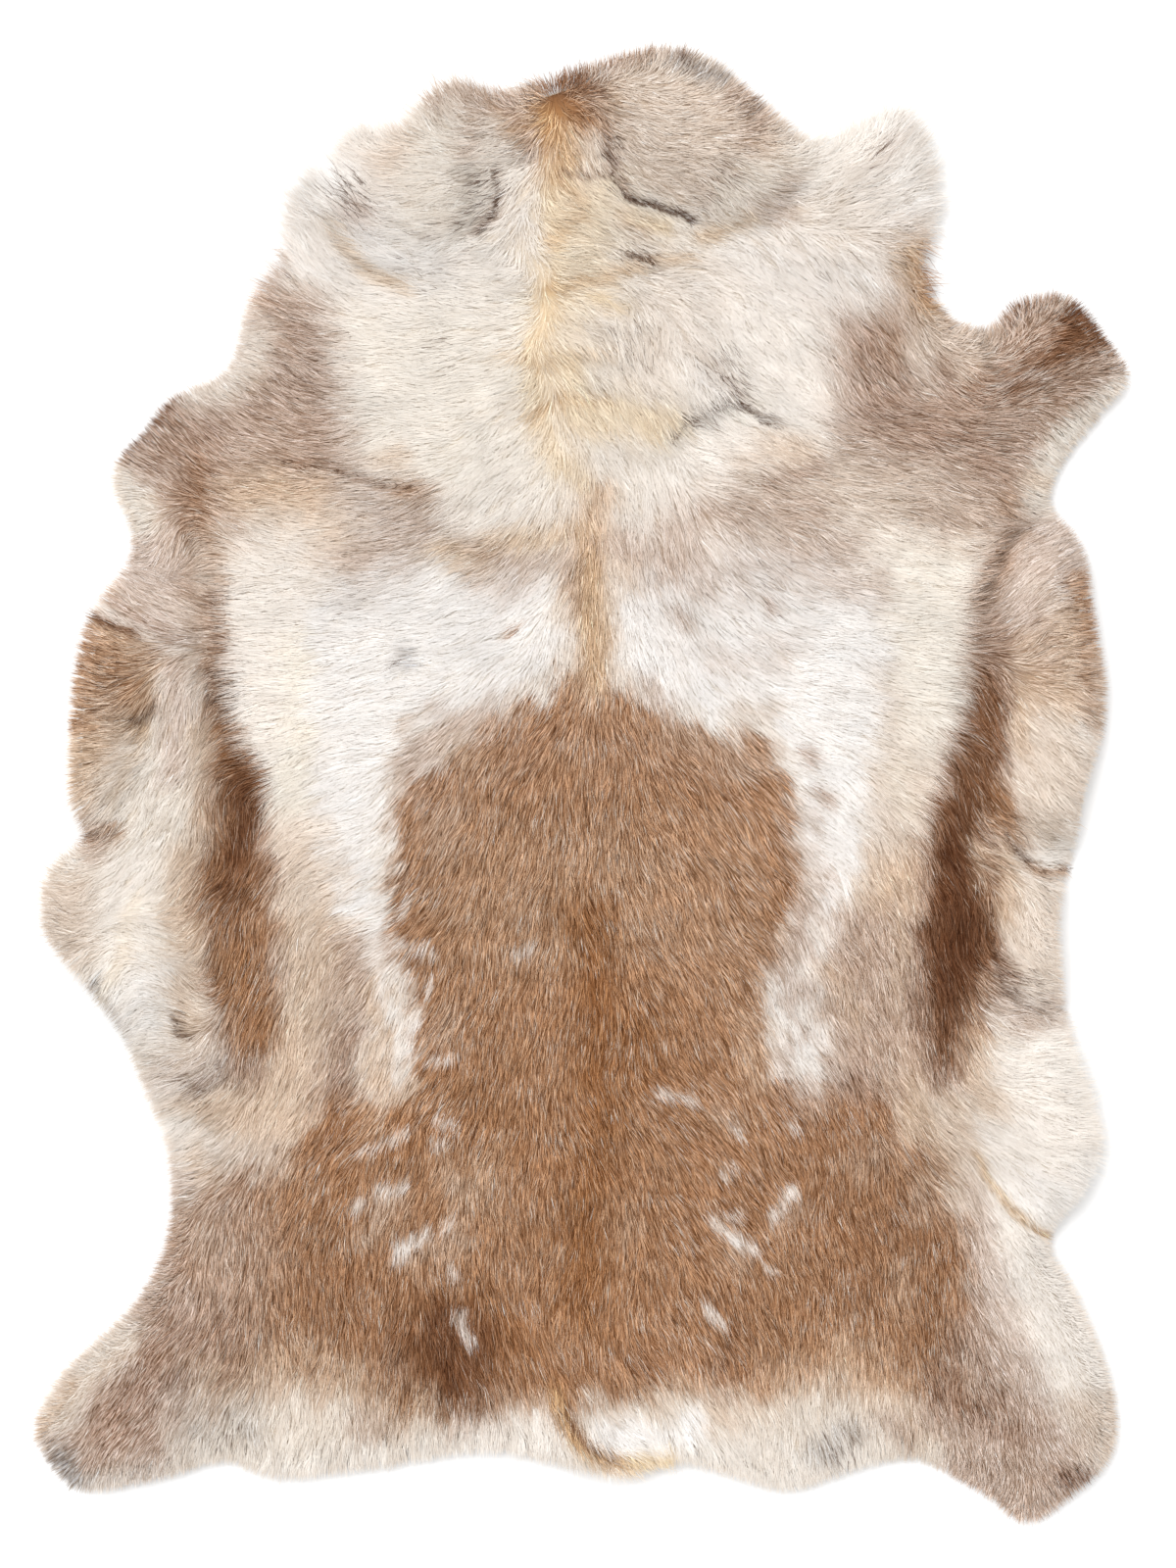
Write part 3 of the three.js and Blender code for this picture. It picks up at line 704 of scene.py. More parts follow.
    ("left front edge, sandy", "sand", 0.5, 7, 5, [(-398, 160), (-390, 156)]),
    ("left flank, brown root", "bark", 0.5, 7, 6, [(-302, -28), (-302, -46)]),
    ("left cream's foot", "linen", 0.5, 8, 7, [(-260, -24), (-262, -42)]),
    ("saddle's left edge", "saddle", 0.5, 7, 8, [(-146, -2), (-146, -18)]),
    ("saddle's right edge", "saddle", 0.6, 8, 8, [(150, -38), (154, -60)]),
    ("left haunch leg, tan sole", "sand", 0.4, 7, 5, [(-404, -40), (-410, -26)]),
    ("rump, brown lock", "taupe", 0.4, 11, 10, [(104, -494), (112, -500)]),
    ("saddle, pale front corner", "dun", 0.4, 11, 10, [(110, 26), (132, 14)]),
    ("saddle, pale hind corner", "sand", 0.5, 9, 10, [(128, -222), (136, -242)]),
    ("back, dark cloud", "chestnut", 0.6, 15, 12, [(46, -196), (46, -232)]),
    ("rump's pale clouds, left", "dun", 0.5, 11, 12, [(-180, -368), (-156, -338)]),
    ("right mottle, dark", "taupe", 0.55, 7, 5, [(144, 245), (160, 250), (184, 258)]),
    # The crease's dark line: partly its dark hair, partly painted shade.
    ("left crease", "bark", 0.5, 3.5, 3, [(-250, 264), (-205, 254), (-172, 242), (-148, 240)]),
    ("left crease, end", "chestnut", 0.4, 8, 5, [(-152, 240), (-136, 236)]),
    ("left inner seam", "chestnut", 0.35, 8, 5,
     [(-318, 262), (-316, 225), (-306, 190), (-302, 165)]),
    ("left inner seam, middle", "bark", 0.75, 7, 5,
     [(-305, 150), (-303, 100), (-299, 60), (-292, 26)]),
    ("left inner seam, pale side", "ash", 0.4, 7, 6, [(-280, 92), (-282, 70)]),
    ("left flank streak's inner side", "bark", 0.4, 8, 8, [(-266, -40), (-266, -70)]),
    ("left white's torn edge", "fawn", 0.35, 8, 8, [(-128, 62), (-116, 54)]),
    ("left white, gap", "fawn", 0.6, 7, 8, [(-166, -124), (-160, -142)]),
    ("saddle, pale by the left white", "dun", 0.35, 12, 12, [(-118, -22), (-120, -44)]),
    ("right white, gap", "fawn", 0.8, 8, 8, [(174, -98), (168, -122), (154, -150)]),
    ("right white's inner edge", "white", 0.6, 7, 8, [(170, -14), (177, -70)]),
    ("right lobe's pale rim", "oat", 0.5, 8, 5, [(414, 100), (418, 76)]),
    ("left streak's top", "chestnut", 0.6, 7, 6, [(-298, 44), (-292, 20)]),
    ("left inner seam, soft", "saddle", 0.35, 11, 6,
     [(-326, 236), (-326, 210), (-324, 168), (-310, 130)]),
    ("left inner seam, low", "fawn", 0.4, 10, 6, [(-308, 110), (-306, 60)]),
    ("left ridge, tan root", "sand", 0.6, 9, 6, [(-314, 40), (-314, -30)]),
    ("left white, hind mottle", "sand", 0.8, 12, 28, [(-180, -165), (-166, -205), (-166, -245)]),
    ("right white, hind mottle", "fawn", 0.6, 9, 26, [(174, -130), (170, -180), (164, -212)]),
    ("right white, hind point", "fawn", 0.6, 10, 12, [(160, -252), (190, -258), (220, -236)]),
    ("right lobe, tan", "fawn", 0.5, 18, 9, [(366, 124), (374, 92)]),
    ("left ridge's inner side", "saddle", 0.35, 9, 5,
     [(-310, 108), (-306, 60), (-306, 10), (-310, -50), (-318, -100)]),
    # The tuck's dark line: partly its dark hair, partly painted shade.
    ("left belly tuck", "bark", 0.4, 5, 6, [(-352, 66), (-366, 52)]),
    ("left belly lobe's gold border", "ochre", 0.4, 4, 4, [(-360, 44), (-376, 12), (-392, -24)]),
    ("left belly edge marks", "slate", 0.45, 4, 5, [(-404, -163), (-385, -192), (-376, -213)]),
    ("left flank streak, low", "chestnut", 0.4, 12, 9, [(-284, -140), (-268, -180), (-262, -200)]),
    # The hind tuck's dark line: partly its dark hair, partly painted shade.
    ("left belly tuck, hind", "chestnut", 0.7, 5, 3, [(-404, -46), (-390, -36), (-382, -42)]),
    ("left belly, tan corner", "fawn", 0.6, 10, 5, [(-404, -58), (-398, -50), (-412, -32)]),
    # The crease's dark line: partly its dark hair, partly painted shade.
    ("left belly top line", "bark", 0.9, 3.5, 3, [(-410, 138), (-390, 129), (-370, 120)]),
    ("left belly top streak", "taupe", 0.4, 4, 3, [(-396, 152), (-360, 128), (-322, 112)]),
    # Painted light: paler to make up for the shade in the front lobe's hollow.
    ("left front lobe, pale hollow", "milk", 0.75, 12, 5, [(-376, 26), (-388, 4), (-396, -24)]),
    ("left ridge, shaded root", "fawn", 0.6, 9, 5, [(-356, 104), (-338, 96)]),
    # The pinch's dark line: partly its dark hair, partly painted shade.
    ("left pinch", "soot", 0.6, 3, 3, [(-334, -186), (-332, -202), (-320, -209)]),
    ("left pinch, around", "sand", 0.6, 12, 6, [(-330, -170), (-324, -200)]),
    ("left foreleg, top edge", "umber", 0.75, 6, 3,
     [(-386, 270), (-360, 292), (-348, 306), (-334, 320)]),
    ("left foreleg, pale streak", "oat", 0.7, 12, 5,
     [(-326, 314), (-298, 316), (-274, 336), (-266, 366)]),
    ("right shoulder, pale gap", "oat", 0.4, 12, 8, [(258, 358), (272, 322)]),
    ("left ruff, pale tip", "white", 0.9, 11, 6, [(-212, 500), (-194, 490)]),
    ("neck curl's shade", "ash", 0.5, 8, 6, [(90, 332), (106, 322)]),
    ("spine's left side", "saddle", 0.3, 7, 8, [(-16, 170), (-14, 150)]),
    ("spine's right side", "sand", 0.5, 9, 8, [(28, 178), (32, 160)]),
    ("left foreleg, dark streak", "bark", 0.3, 7, 6, [(-356, 298), (-340, 294)]),
    ("left whorl", "blush", 0.6, 20, 6, [(-318, -232), (-340, -236)]),
    ("left whorl, dark", "taupe", 0.4, 5, 5, [(-304, -236), (-318, -248)]),
    ("left hind lobe's fold", "straw", 0.2, 5, 4, [(-366, -90), (-376, -140), (-398, -176)]),
    # Painted shadow in the right trough, over its brown hair.
    ("right trough", "chestnut", 0.8, 6, 4, [(340, 188), (334, 176), (324, 150)]),
    ("right trough, soft", "fawn", 0.8, 12, 5, [(348, 206), (334, 184), (322, 150), (320, 128)]),
    ("right belly tuft", "chestnut", 0.8, 10, 7, [(332, -8), (336, -28), (344, -44)]),
    ("right belly tuft, outer", "sand", 0.3, 9, 6, [(356, -34), (376, -40)]),
    ("right lobe's shaded side", "sand", 0.7, 8, 6, [(350, 74), (350, 34)]),
    ("right front band, pale", "linen", 0.5, 10, 7, [(362, 156), (374, 144)]),
    # The tuck and fold lines: partly their dark hair, partly painted shade.
    ("right tuck", "soot", 0.5, 3, 3, [(344, -50), (356, -64)]),
    ("right tuck, rest", "chestnut", 0.6, 3.5, 3, [(356, -68), (368, -72), (392, -70)]),
    ("right fold line", "bark", 0.8, 6, 4, [(330, -60), (328, -100), (332, -135), (340, -156)]),
    ("right fold, warm side", "sand", 0.8, 9, 5, [(338, -60), (338, -110)]),
    ("right belly tuft, hind", "fawn", 0.6, 12, 8, [(338, -172), (350, -190), (374, -188)]),
    ("right lobe's shaded root", "sand", 0.7, 12, 6, [(316, -208), (314, -240), (322, -262)]),
    ("right overlap line", "ochre", 0.7, 2.6, 2,
     [(312, -300), (326, -326), (346, -350), (376, -372)]),
    ("right hind leg line", "fawn", 0.6, 8, 5, [(306, -330), (310, -400), (314, -450)]),
    ("right haunch, pale corner", "dun", 0.7, 13, 9, [(290, -272), (300, -310), (304, -345)]),
    # Painted light: paler to make up for the shade where the hind lobe overlaps the leg.
    ("right hind lobe, pale", "white", 0.6, 16, 5, [(356, -330), (384, -344), (410, -320)]),
    ("right hind leg band", "fawn", 0.5, 16, 6, [(316, -440), (352, -500), (392, -550)]),
    ("right hind leg, tip", "umber", 0.6, 8, 4, [(388, -568), (404, -570)]),
    ("right foreleg, pale streaks", "ash", 0.45, 5, 7, [(322, 318), (350, 330), (372, 330)]),
    ("rust edge", "ochre", 0.6, 12, 7, [(262, 430), (268, 412), (276, 392)]),
    ("rust edge, dark", "chestnut", 0.8, 8, 5, [(274, 430), (276, 402)]),
    ("right shoulder, rust", "chestnut", 0.25, 10, 7, [(240, 382), (246, 350)]),
    ("right foreleg, top edge", "umber", 0.8, 9, 4,
     [(322, 388), (350, 406), (375, 412), (402, 408), (424, 386), (446, 352)]),
    ("left hind leg band", "taupe", 0.5, 13, 5,
     [(-338, -400), (-350, -450), (-372, -505), (-405, -558)]),
    ("left hind leg, outer", "oat", 0.75, 13, 5, [(-382, -452), (-400, -474), (-430, -522)]),
    ("left hind leg, rim", "sand", 0.7, 5, 4, [(-420, -490), (-452, -530)]),
    ("left hind leg, tip", "slate", 0.6, 10, 5, [(-434, -556), (-424, -574)]),
    # Painted shade in the rump's hollows, over the saddle's own brown.
    ("rump hollow", "umber", 0.8, 18, 9, [(-122, -440), (-112, -492)]),
    ("rump hollow's shade", "bark", 0.6, 22, 12, [(-150, -462), (-88, -458), (-90, -490)]),
    ("rump hollow, right", "bark", 0.5, 14, 10, [(118, -440), (112, -468)]),
    ("rump edge marks", "slate", 0.3, 9, 9, [(-318, -528), (-286, -514), (-276, -532)]),
    ("left hind leg, pale inside", "oat", 0.35, 24, 12, [(-335, -516), (-290, -520)]),
    ("left haunch, sandy top", "dun", 0.7, 13, 12, [(-290, -302), (-252, -310)]),
    ("right haunch, brown above", "taupe", 0.5, 11, 12, [(210, -242), (238, -254)]),
    ("rump edge marks, right", "slate", 0.35, 10, 9, [(190, -545), (205, -534), (216, -528)]),
    ("spine on the rump", "chestnut", 0.9, 20, 10,
     [(2, -110), (12, -210), (8, -280), (-4, -380), (-6, -424)]),
    ("tail's root", "chestnut", 0.7, 8, 4, [(-28, -490), (-22, -514), (-14, -530)]),
    ("tail", "ochre", 0.9, 6, 3, [(-27, -498), (-20, -522), (-4, -543), (16, -554), (30, -557)]),
    # Painted shadow along the tail's right side.
    ("tail's dark side", "bark", 0.8, 3, 2, [(-20, -502), (-13, -525), (0, -541), (18, -550)]),
    ("tail's tip", "straw", 0.9, 6, 3, [(32, -556), (50, -552), (64, -552)]),
    ("mane", "straw", 0.5, 9, 6,
     [(-28, 500), (-30, 430), (-34, 392), (-46, 345), (-44, 300), (-30, 268), (-10, 248)]),
    ("mane, right side", "straw", 0.4, 22, 12, [(0, 480), (0, 430), (-20, 390)]),
    ("mane, low right side", "straw", 0.55, 16, 10, [(-20, 345), (-12, 300), (30, 305), (56, 292)]),
    ("mane wisp", "ochre", 0.5, 4, 5, [(-34, 404), (0, 410), (45, 424), (80, 428)]),
    ("mane wisp, lower", "ochre", 0.3, 4, 5, [(-70, 350), (-46, 338), (-20, 350), (18, 350)]),
    ("mane wisp, lowest", "ochre", 0.5, 4, 5, [(-44, 300), (-18, 314), (14, 312)]),
    ("mane, rusty line", "ochre", 0.4, 6, 7, [(-16, 494), (-10, 470), (-30, 440)]),
    ("gold under the crown", "straw", 0.6, 8, 6, [(32, 464), (50, 458), (62, 454)]),
    ("gold under the crown, shade", "fawn", 0.4, 8, 6, [(28, 462), (42, 454)]),
    ("gold seam beside the crown", "ochre", 0.4, 5, 4, [(88, 446), (112, 452), (134, 462)]),
    ("crown, brown patch", "bark", 0.95, 16, 8, [(-32, 568), (-18, 575), (-6, 572)]),
    ("crown, rusty hair", "chestnut", 0.9, 14, 9, [(-32, 548), (-10, 546), (2, 540)]),
    ("crown, brown point", "bark", 0.2, 4, 5, [(6, 560), (12, 545), (18, 520), (16, 502)]),
    ("crown, gold patch", "ochre", 0.8, 16, 9, [(-36, 540), (-24, 524), (-20, 510)]),
    ("crown, pale by the gold", "linen", 0.6, 8, 6, [(4, 522), (2, 508)]),
    ("lobe's left edge", "dun", 0.8, 10, 6, [(-164, 496), (-154, 524)]),
    ("beside the crown", "fawn", 0.7, 9, 6, [(-92, 566), (-66, 550), (-50, 520)]),
    ("beside the crown, edge", "sand", 0.8, 4, 3, [(-92, 570), (-72, 545), (-56, 524)]),
    ("crown, brown tuft", "taupe", 0.4, 14, 9, [(120, 560), (138, 545), (130, 530)]),
    ("crown, edge", "taupe", 0.8, 8, 4, [(16, 590), (34, 594), (54, 606), (76, 600)]),
    ("lobe's top edge", "fawn", 0.6, 12, 5, [(-130, 558), (-104, 566), (-82, 558)]),
    ("crown, edge marks", "slate", 0.5, 7, 6, [(72, 592), (90, 580), (106, 576)]),
    # The creases' dark lines: partly their dark hair, partly painted shade; the fold under the gold
    # hair is painted shade only.
    ("crease under the crown", "soot", 0.6, 1.6, 1,
     [(29, 483), (39, 476), (52, 474), (64, 468), (73, 467), (84, 459)]),
    ("crease beside the crown", "taupe", 0.5, 3, 4,
     [(16, 530), (13, 516), (22, 510), (17, 499), (29, 485)]),
    ("fold under the gold hair", "fawn", 0.6, 3, 3, [(-22, 499), (10, 498), (16, 502)]),
    ("crown, streaked tuft", "fawn", 0.25, 7, 8, [(116, 500), (102, 496), (90, 484), (90, 470)]),
    ("neck knot", "taupe", 0.4, 2.5, 3, [(28, 433), (42, 430), (52, 424)]),
    # The neck creases' dark lines: partly their dark hair, partly painted shade.
    ("neck crease", "soot", 0.35, 1.8, 2, [(76, 296), (92, 304), (114, 313)]),
    ("neck crease, right", "soot", 0.3, 1.8, 2, [(118, 312), (134, 304), (154, 294)]),
    ("neck curl", "taupe", 0.1, 9, 9, [(92, 356), (104, 338), (122, 322)]),
    ("left arc", "taupe", 0.4, 3, 3, [(-78, 502), (-72, 486), (-75, 466), (-90, 450)]),
    ("left ruff's fold", "ochre", 0.35, 5, 5, [(-208, 452), (-194, 430), (-170, 412), (-146, 404)]),
    ("left ruff's lower edge", "fawn", 0.85, 13, 6, [(-262, 426), (-270, 408), (-258, 388)]),
    ("right ruff's mark", "taupe", 0.25, 5, 6, [(232, 506), (250, 524)]),
    ("right ruff, brown", "fawn", 0.5, 9, 8, [(142, 464), (157, 470), (162, 490)]),
    ("right neck, grey", "ash", 0.5, 30, 12, [(150, 425), (215, 415)]),
    ("right neck, warm", "dun", 0.28, 34, 12, [(44, 350), (72, 400)]),
    ("right ruff, warm", "linen", 0.3, 34, 12, [(215, 470), (262, 510)]),
    ("white shoulder spot", "slate", 0.6, 4, 4, [(-147, 108), (-146, 98)]),
    ("white shoulder fleck", "chestnut", 0.9, 2.5, 2, [(-66, 122), (-59, 127)]),
    ("white shoulder grey, left", "ash", 0.5, 18, 12, [(-200, 150), (-170, 160)]),
    ("right shoulder spot", "fawn", 0.6, 6, 6, [(70, 140), (76, 130)]),
    ("right shoulder mottle", "fawn", 0.2, 12, 14, [(90, 108), (120, 98), (160, 112)]),
    ("right shoulder grey", "ash", 0.3, 26, 14, [(60, 140), (120, 150), (170, 160)]),
    ("right shoulder, brown clouds", "fawn", 0.35, 14, 18, [(110, 176), (170, 172), (236, 160)]),
    ("right shoulder fleck", "taupe", 0.5, 4, 4, [(144, 150), (146, 144)]),
    ("right white, fleck", "taupe", 0.6, 5, 4, [(174, 24), (180, 18)]),
    ("right white, hind fleck", "fawn", 0.8, 5, 4, [(186, -8), (194, -16)]),
    ("right white, streaks", "sand", 0.5, 8, 8, [(196, -150), (215, -190)]),
]
FLECKS = [
    # x, y, length, half width and angle of each white fleck on the back and rump
    (-166, -294, 40, 3, 18), (-116, -277, 16, 3, -30), (-124, -292, 9, 4, 0),
    (-160, -331, 22, 5, 25), (-146, -375, 24, 5, 25), (-153, -384, 16, 6, 60),
    (-113, -398, 14, 3, -60), (-102, -446, 26, 4, -70), (-120, -226, 24, 2.5, 10),
    (-131, -165, 10, 3, 80), (-52, -134, 14, 4, 40), (166, -282, 10, 3, -60),
    (156, -342, 26, 4.5, 70), (164, -333, 13, 3, -15), (110, -366, 22, 5, -35),
    (124, -378, 18, 5, -25), (-143, -206, 26, 4, 82), (118, -284, 10, 3, -45),
    (112, -318, 8, 3, 30), (148, -394, 9, 3, 0), (100, -435, 18, 5, -60),
    (-143, -133, 24, 5, -20), (-157, -38, 16, 5, 80), (118, -352, 12, 3, 20),
    (-148, -100, 14, 4, 60), (70, -255, 24, 4, -10), (-190, -345, 18, 4, 60),
    (-118, -362, 10, 3, 50),
]
GRIZZLE = [
    # x, y, how far they reach and their share: dark hairs among the pale ones
    (-81, 492, 9, 1.0), (-82, 474, 9, 1.0), (-92, 458, 9, 0.7), (-182, 470, 16, 0.7),
    (-130, 424, 22, 0.1), (34, 368, 18, 0.2), (102, 354, 9, 0.8), (110, 338, 9, 1.0),
    (118, 324, 9, 1.0), (86, 302, 10, 0.4), (108, 500, 10, 0.9), (94, 484, 9, 0.7),
    (92, 468, 7, 0.4), (131, 550, 12, 0.8), (80, 590, 12, 0.7), (44, 430, 9, 0.8),
    (228, 500, 8, 0.5), (190, 430, 18, 0.1), (16, 524, 9, 0.7), (20, 500, 9, 0.6),
    (-40, 560, 14, 0.3), (6, 562, 12, 0.6), (-366, 54, 6, 0.5), (-388, -40, 8, 0.6),
    (-312, -244, 10, 0.5), (-420, -115, 10, 0.2), (-290, 85, 12, 0.9), (-292, 155, 9, 0.7),
    (340, -32, 9, 0.5), (344, -160, 10, 0.6), (366, -182, 10, 0.3), (-147, 102, 5, 1.0),
    (100, 130, 12, 0.15), (-296, -522, 12, 0.6), (204, -535, 12, 0.5), (-424, -548, 10, 0.5),
    (-110, 352, 12, 0.3), (-190, 150, 16, 0.2), (130, 165, 24, 0.1), (-232, 330, 18, 0.3),
    (240, 340, 18, 0.3),
]


def grain_noise(x, y, size, seed):
    """Soft random blots about size across, from -1 to 1, the same on every run."""
    table = np.random.default_rng(seed).uniform(-1, 1, (128, 128))
    u, v = x / size + 300.0, y / size + 300.0
    i, j = np.floor(u).astype(int), np.floor(v).astype(int)
    s, t = u - i, v - j
    s, t = s * s * (3 - 2 * s), t * t * (3 - 2 * t)
    near = table[i % 128, j % 128] * (1 - s) + table[(i + 1) % 128, j % 128] * s
    far = table[i % 128, (j + 1) % 128] * (1 - s) + table[(i + 1) % 128, (j + 1) % 128] * s
    return near * (1 - t) + far * t


def inside(ring, x, y):
    """Which places lie within a ring of corners."""
    within = np.zeros(x.shape, bool)
    for (ax, ay), (bx, by) in zip(ring, ring[1:] + ring[:1]):
        crosses = (ay > y) != (by > y)
        where = ax + (y - ay) * (bx - ax) / ((by - ay) or 1e-9)
        within ^= crosses & (x < where)
    return within


chart_x, chart_y = np.meshgrid(
    np.arange(west, high[0] + BEYOND, CHART_STEP), np.arange(south, high[1] + BEYOND, CHART_STEP),
    indexing="ij")
here_x, here_y = chart_x - UNDER_CAMERA[0], chart_y - UNDER_CAMERA[1]
chart = np.empty(chart_x.shape + (3,))
chart[:] = TONES["milk"]


def paint(tone, cover):
    """Lays a tone over the chart, as strong as the cover is at each spot."""
    chart[:] += (np.array(TONES[tone]) - chart) * cover[..., None]


def eased(share):
    """A share from 0 to 1 that starts and ends gently."""
    share = np.clip(share, 0, 1)
    return share * share * (3 - 2 * share)


def drift(seed):
    """How far a border wanders at each spot, from about -1 to 1, by coarse and fine blots."""
    coarse = grain_noise(here_x, here_y, BLOTS[0], seed)
    fine = grain_noise(here_x, here_y, FINE_BLOTS[0], seed + 1)
    return BLOTS[1] * coarse + FINE_BLOTS[1] * fine


drift_x, drift_y = drift(1), drift(3)
for name, tone, strength, softness, ragged, ring in PATCHES:
    x, y = here_x + ragged * drift_x, here_y + ragged * drift_y
    gap = gap_to(ring + ring[:1], x, y)
    depth = np.where(inside(ring, x, y), gap, -gap)
    paint(tone, strength * eased(0.5 + depth / (2 * softness)))
for name, tone, strength, half_width, ragged, path in STROKES:
    x, y = here_x + ragged * drift_x, here_y + ragged * drift_y
    paint(tone, strength * np.exp(-STROKE_FADE * (gap_to(path, x, y) / half_width) ** 2))
for x0, y0, length, half_width, angle in FLECKS:
    x, y = here_x - x0 + FLECK_RAGGED * drift_x, here_y - y0 + FLECK_RAGGED * drift_y
    reach = length / 2 * np.array([math.cos(math.radians(angle)), math.sin(math.radians(angle))])
    gap = gap_to([tuple(-reach), tuple(reach)], x, y)
    paint("white", FLECK_STRENGTH * eased(1.5 - gap / half_width))

# Every coat is a little uneven: cloudy, tufted, and banded across the back.
uneven = 1 + sum(amount * grain_noise(here_x, here_y, size, seed)
                 for size, amount, seed in COAT_CLOUDS)
banded = grain_noise(here_x / BAND_STRETCH, here_y, BAND_SIZE, 33)
banded *= np.clip((BANDS_BELOW - chart.mean(axis=2)) / BANDS_OVER, 0, 1)
chart *= (uneven + BAND_STRENGTH * banded)[..., None]


def coat_tone(x, y):
    """The coat's tone at any places, as seen, from 0 to 255."""
    u = np.clip((x - west) / CHART_STEP, 0, chart.shape[0] - 1).astype(int)
    v = np.clip((y - south) / CHART_STEP, 0, chart.shape[1] - 1).astype(int)
    return chart[u, v]


def brown_share(tone):
    """How brown a tone is: 0 for the white and cream hair, 1 for the saddle and darker."""
    return np.clip((BROWN_BELOW - tone.mean(axis=1)) / BROWN_OVER, 0, 1)


def as_light(tone):
    """A tone as seen, turned into the light that it sends back, from 0 to 1."""
    share = np.clip(tone / 255, 0, 1)
    return np.where(share <= 0.04045, share / 12.92, ((share + 0.055) / 1.055) ** 2.4)


def colour_corners(piece, tones):
    """Gives each corner of a piece its own colour."""
    layer = piece.data.attributes.new("coat", "FLOAT_COLOR", "POINT")
    values = np.ones((len(tones), 4), np.float32)
    values[:, :3] = as_light(tones)
    layer.data.foreach_set("color", values.ravel())


# ---------------------------------------------------------------------------------------
# The undercoat: short crimped wool that stands close on the skin and fills the coat up
# to a few millimetres below the hair's tips. It takes the coat's colours, a little darker, as
# painted shade.
# ---------------------------------------------------------------------------------------
WOOL_STEP = 8.0                   # spacing of its corners
WOOL_INSET = SKIN_INSET + 1.5
WOOL_BELOW_TIPS = 5.0
WOOL_OVER_SKIN = 0.3              # the gap between the wool's underside and the skin
WOOL_LEAST = 0.8                  # its top is at least this far over the skin
WOOL_AT_EDGE = 0.35               # share of its depth that is left at the skin's edge
WOOL_ROLL = 16.0                  # it thins out to that over this distance
WOOL_PAINTED_SHADE = (0.88, 0.84, 0.79)   # painted shade: the wool's red, green and blue under brown hair
PALE_WOOL_PAINTED_SHADE = (0.97, 0.95, 0.92)        # and under white hair
CRIMP_A_METRE = 420.0
CRIMP_DEPTH = 0.002               # in metres


def wool():
    """Matt crimped wool that takes the coat's colours."""
    shader = Shader("wool")
    place = shader.node("ShaderNodeTexCoord", output="Object")
    tone = shader.node("ShaderNodeAttribute", {"attribute_name": "coat"})
    crimp = shader.node("ShaderNodeTexNoise", values={
        "Vector": place, "Scale": CRIMP_A_METRE, "Detail": 4.0})
    bump = shader.node("ShaderNodeBump", values={
        "Strength": 0.8, "Distance": CRIMP_DEPTH, "Height": crimp})
    return shader.surface(
        Base_Color=tone, Roughness=0.95, Specular_IOR_Level=0.02, Normal=bump)


x, y, squares = grid_of(WOOL_STEP, WOOL_INSET)
skin_top = read(unders, x, y) + SKIN_THICK
rolled = eased((read(smooth_gap, x, y) - SKIN_INSET) / WOOL_ROLL)
deep = read(hair_tops, x, y) - WOOL_BELOW_TIPS - skin_top - WOOL_LEAST
deep = np.maximum(deep, 0) * (WOOL_AT_EDGE + (1 - WOOL_AT_EDGE) * rolled)
wool_top = np.stack([x, y, skin_top + WOOL_LEAST + deep], -1)
wool_foot = np.stack([x, y, skin_top + WOOL_OVER_SKIN], -1)
undercoat = closed_layer("undercoat", wool_top, wool_foot, squares)
tones = coat_tone(x, y)
browned = brown_share(tones)[:, None]
# Painted shade: the wool is darker and warmer than the hair over it.
tones *= np.array(PALE_WOOL_PAINTED_SHADE) * (1 - browned) + np.array(WOOL_PAINTED_SHADE) * browned
colour_corners(undercoat, np.concatenate([tones, tones]))
undercoat.data.materials.append(wool())
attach(undercoat, "root")

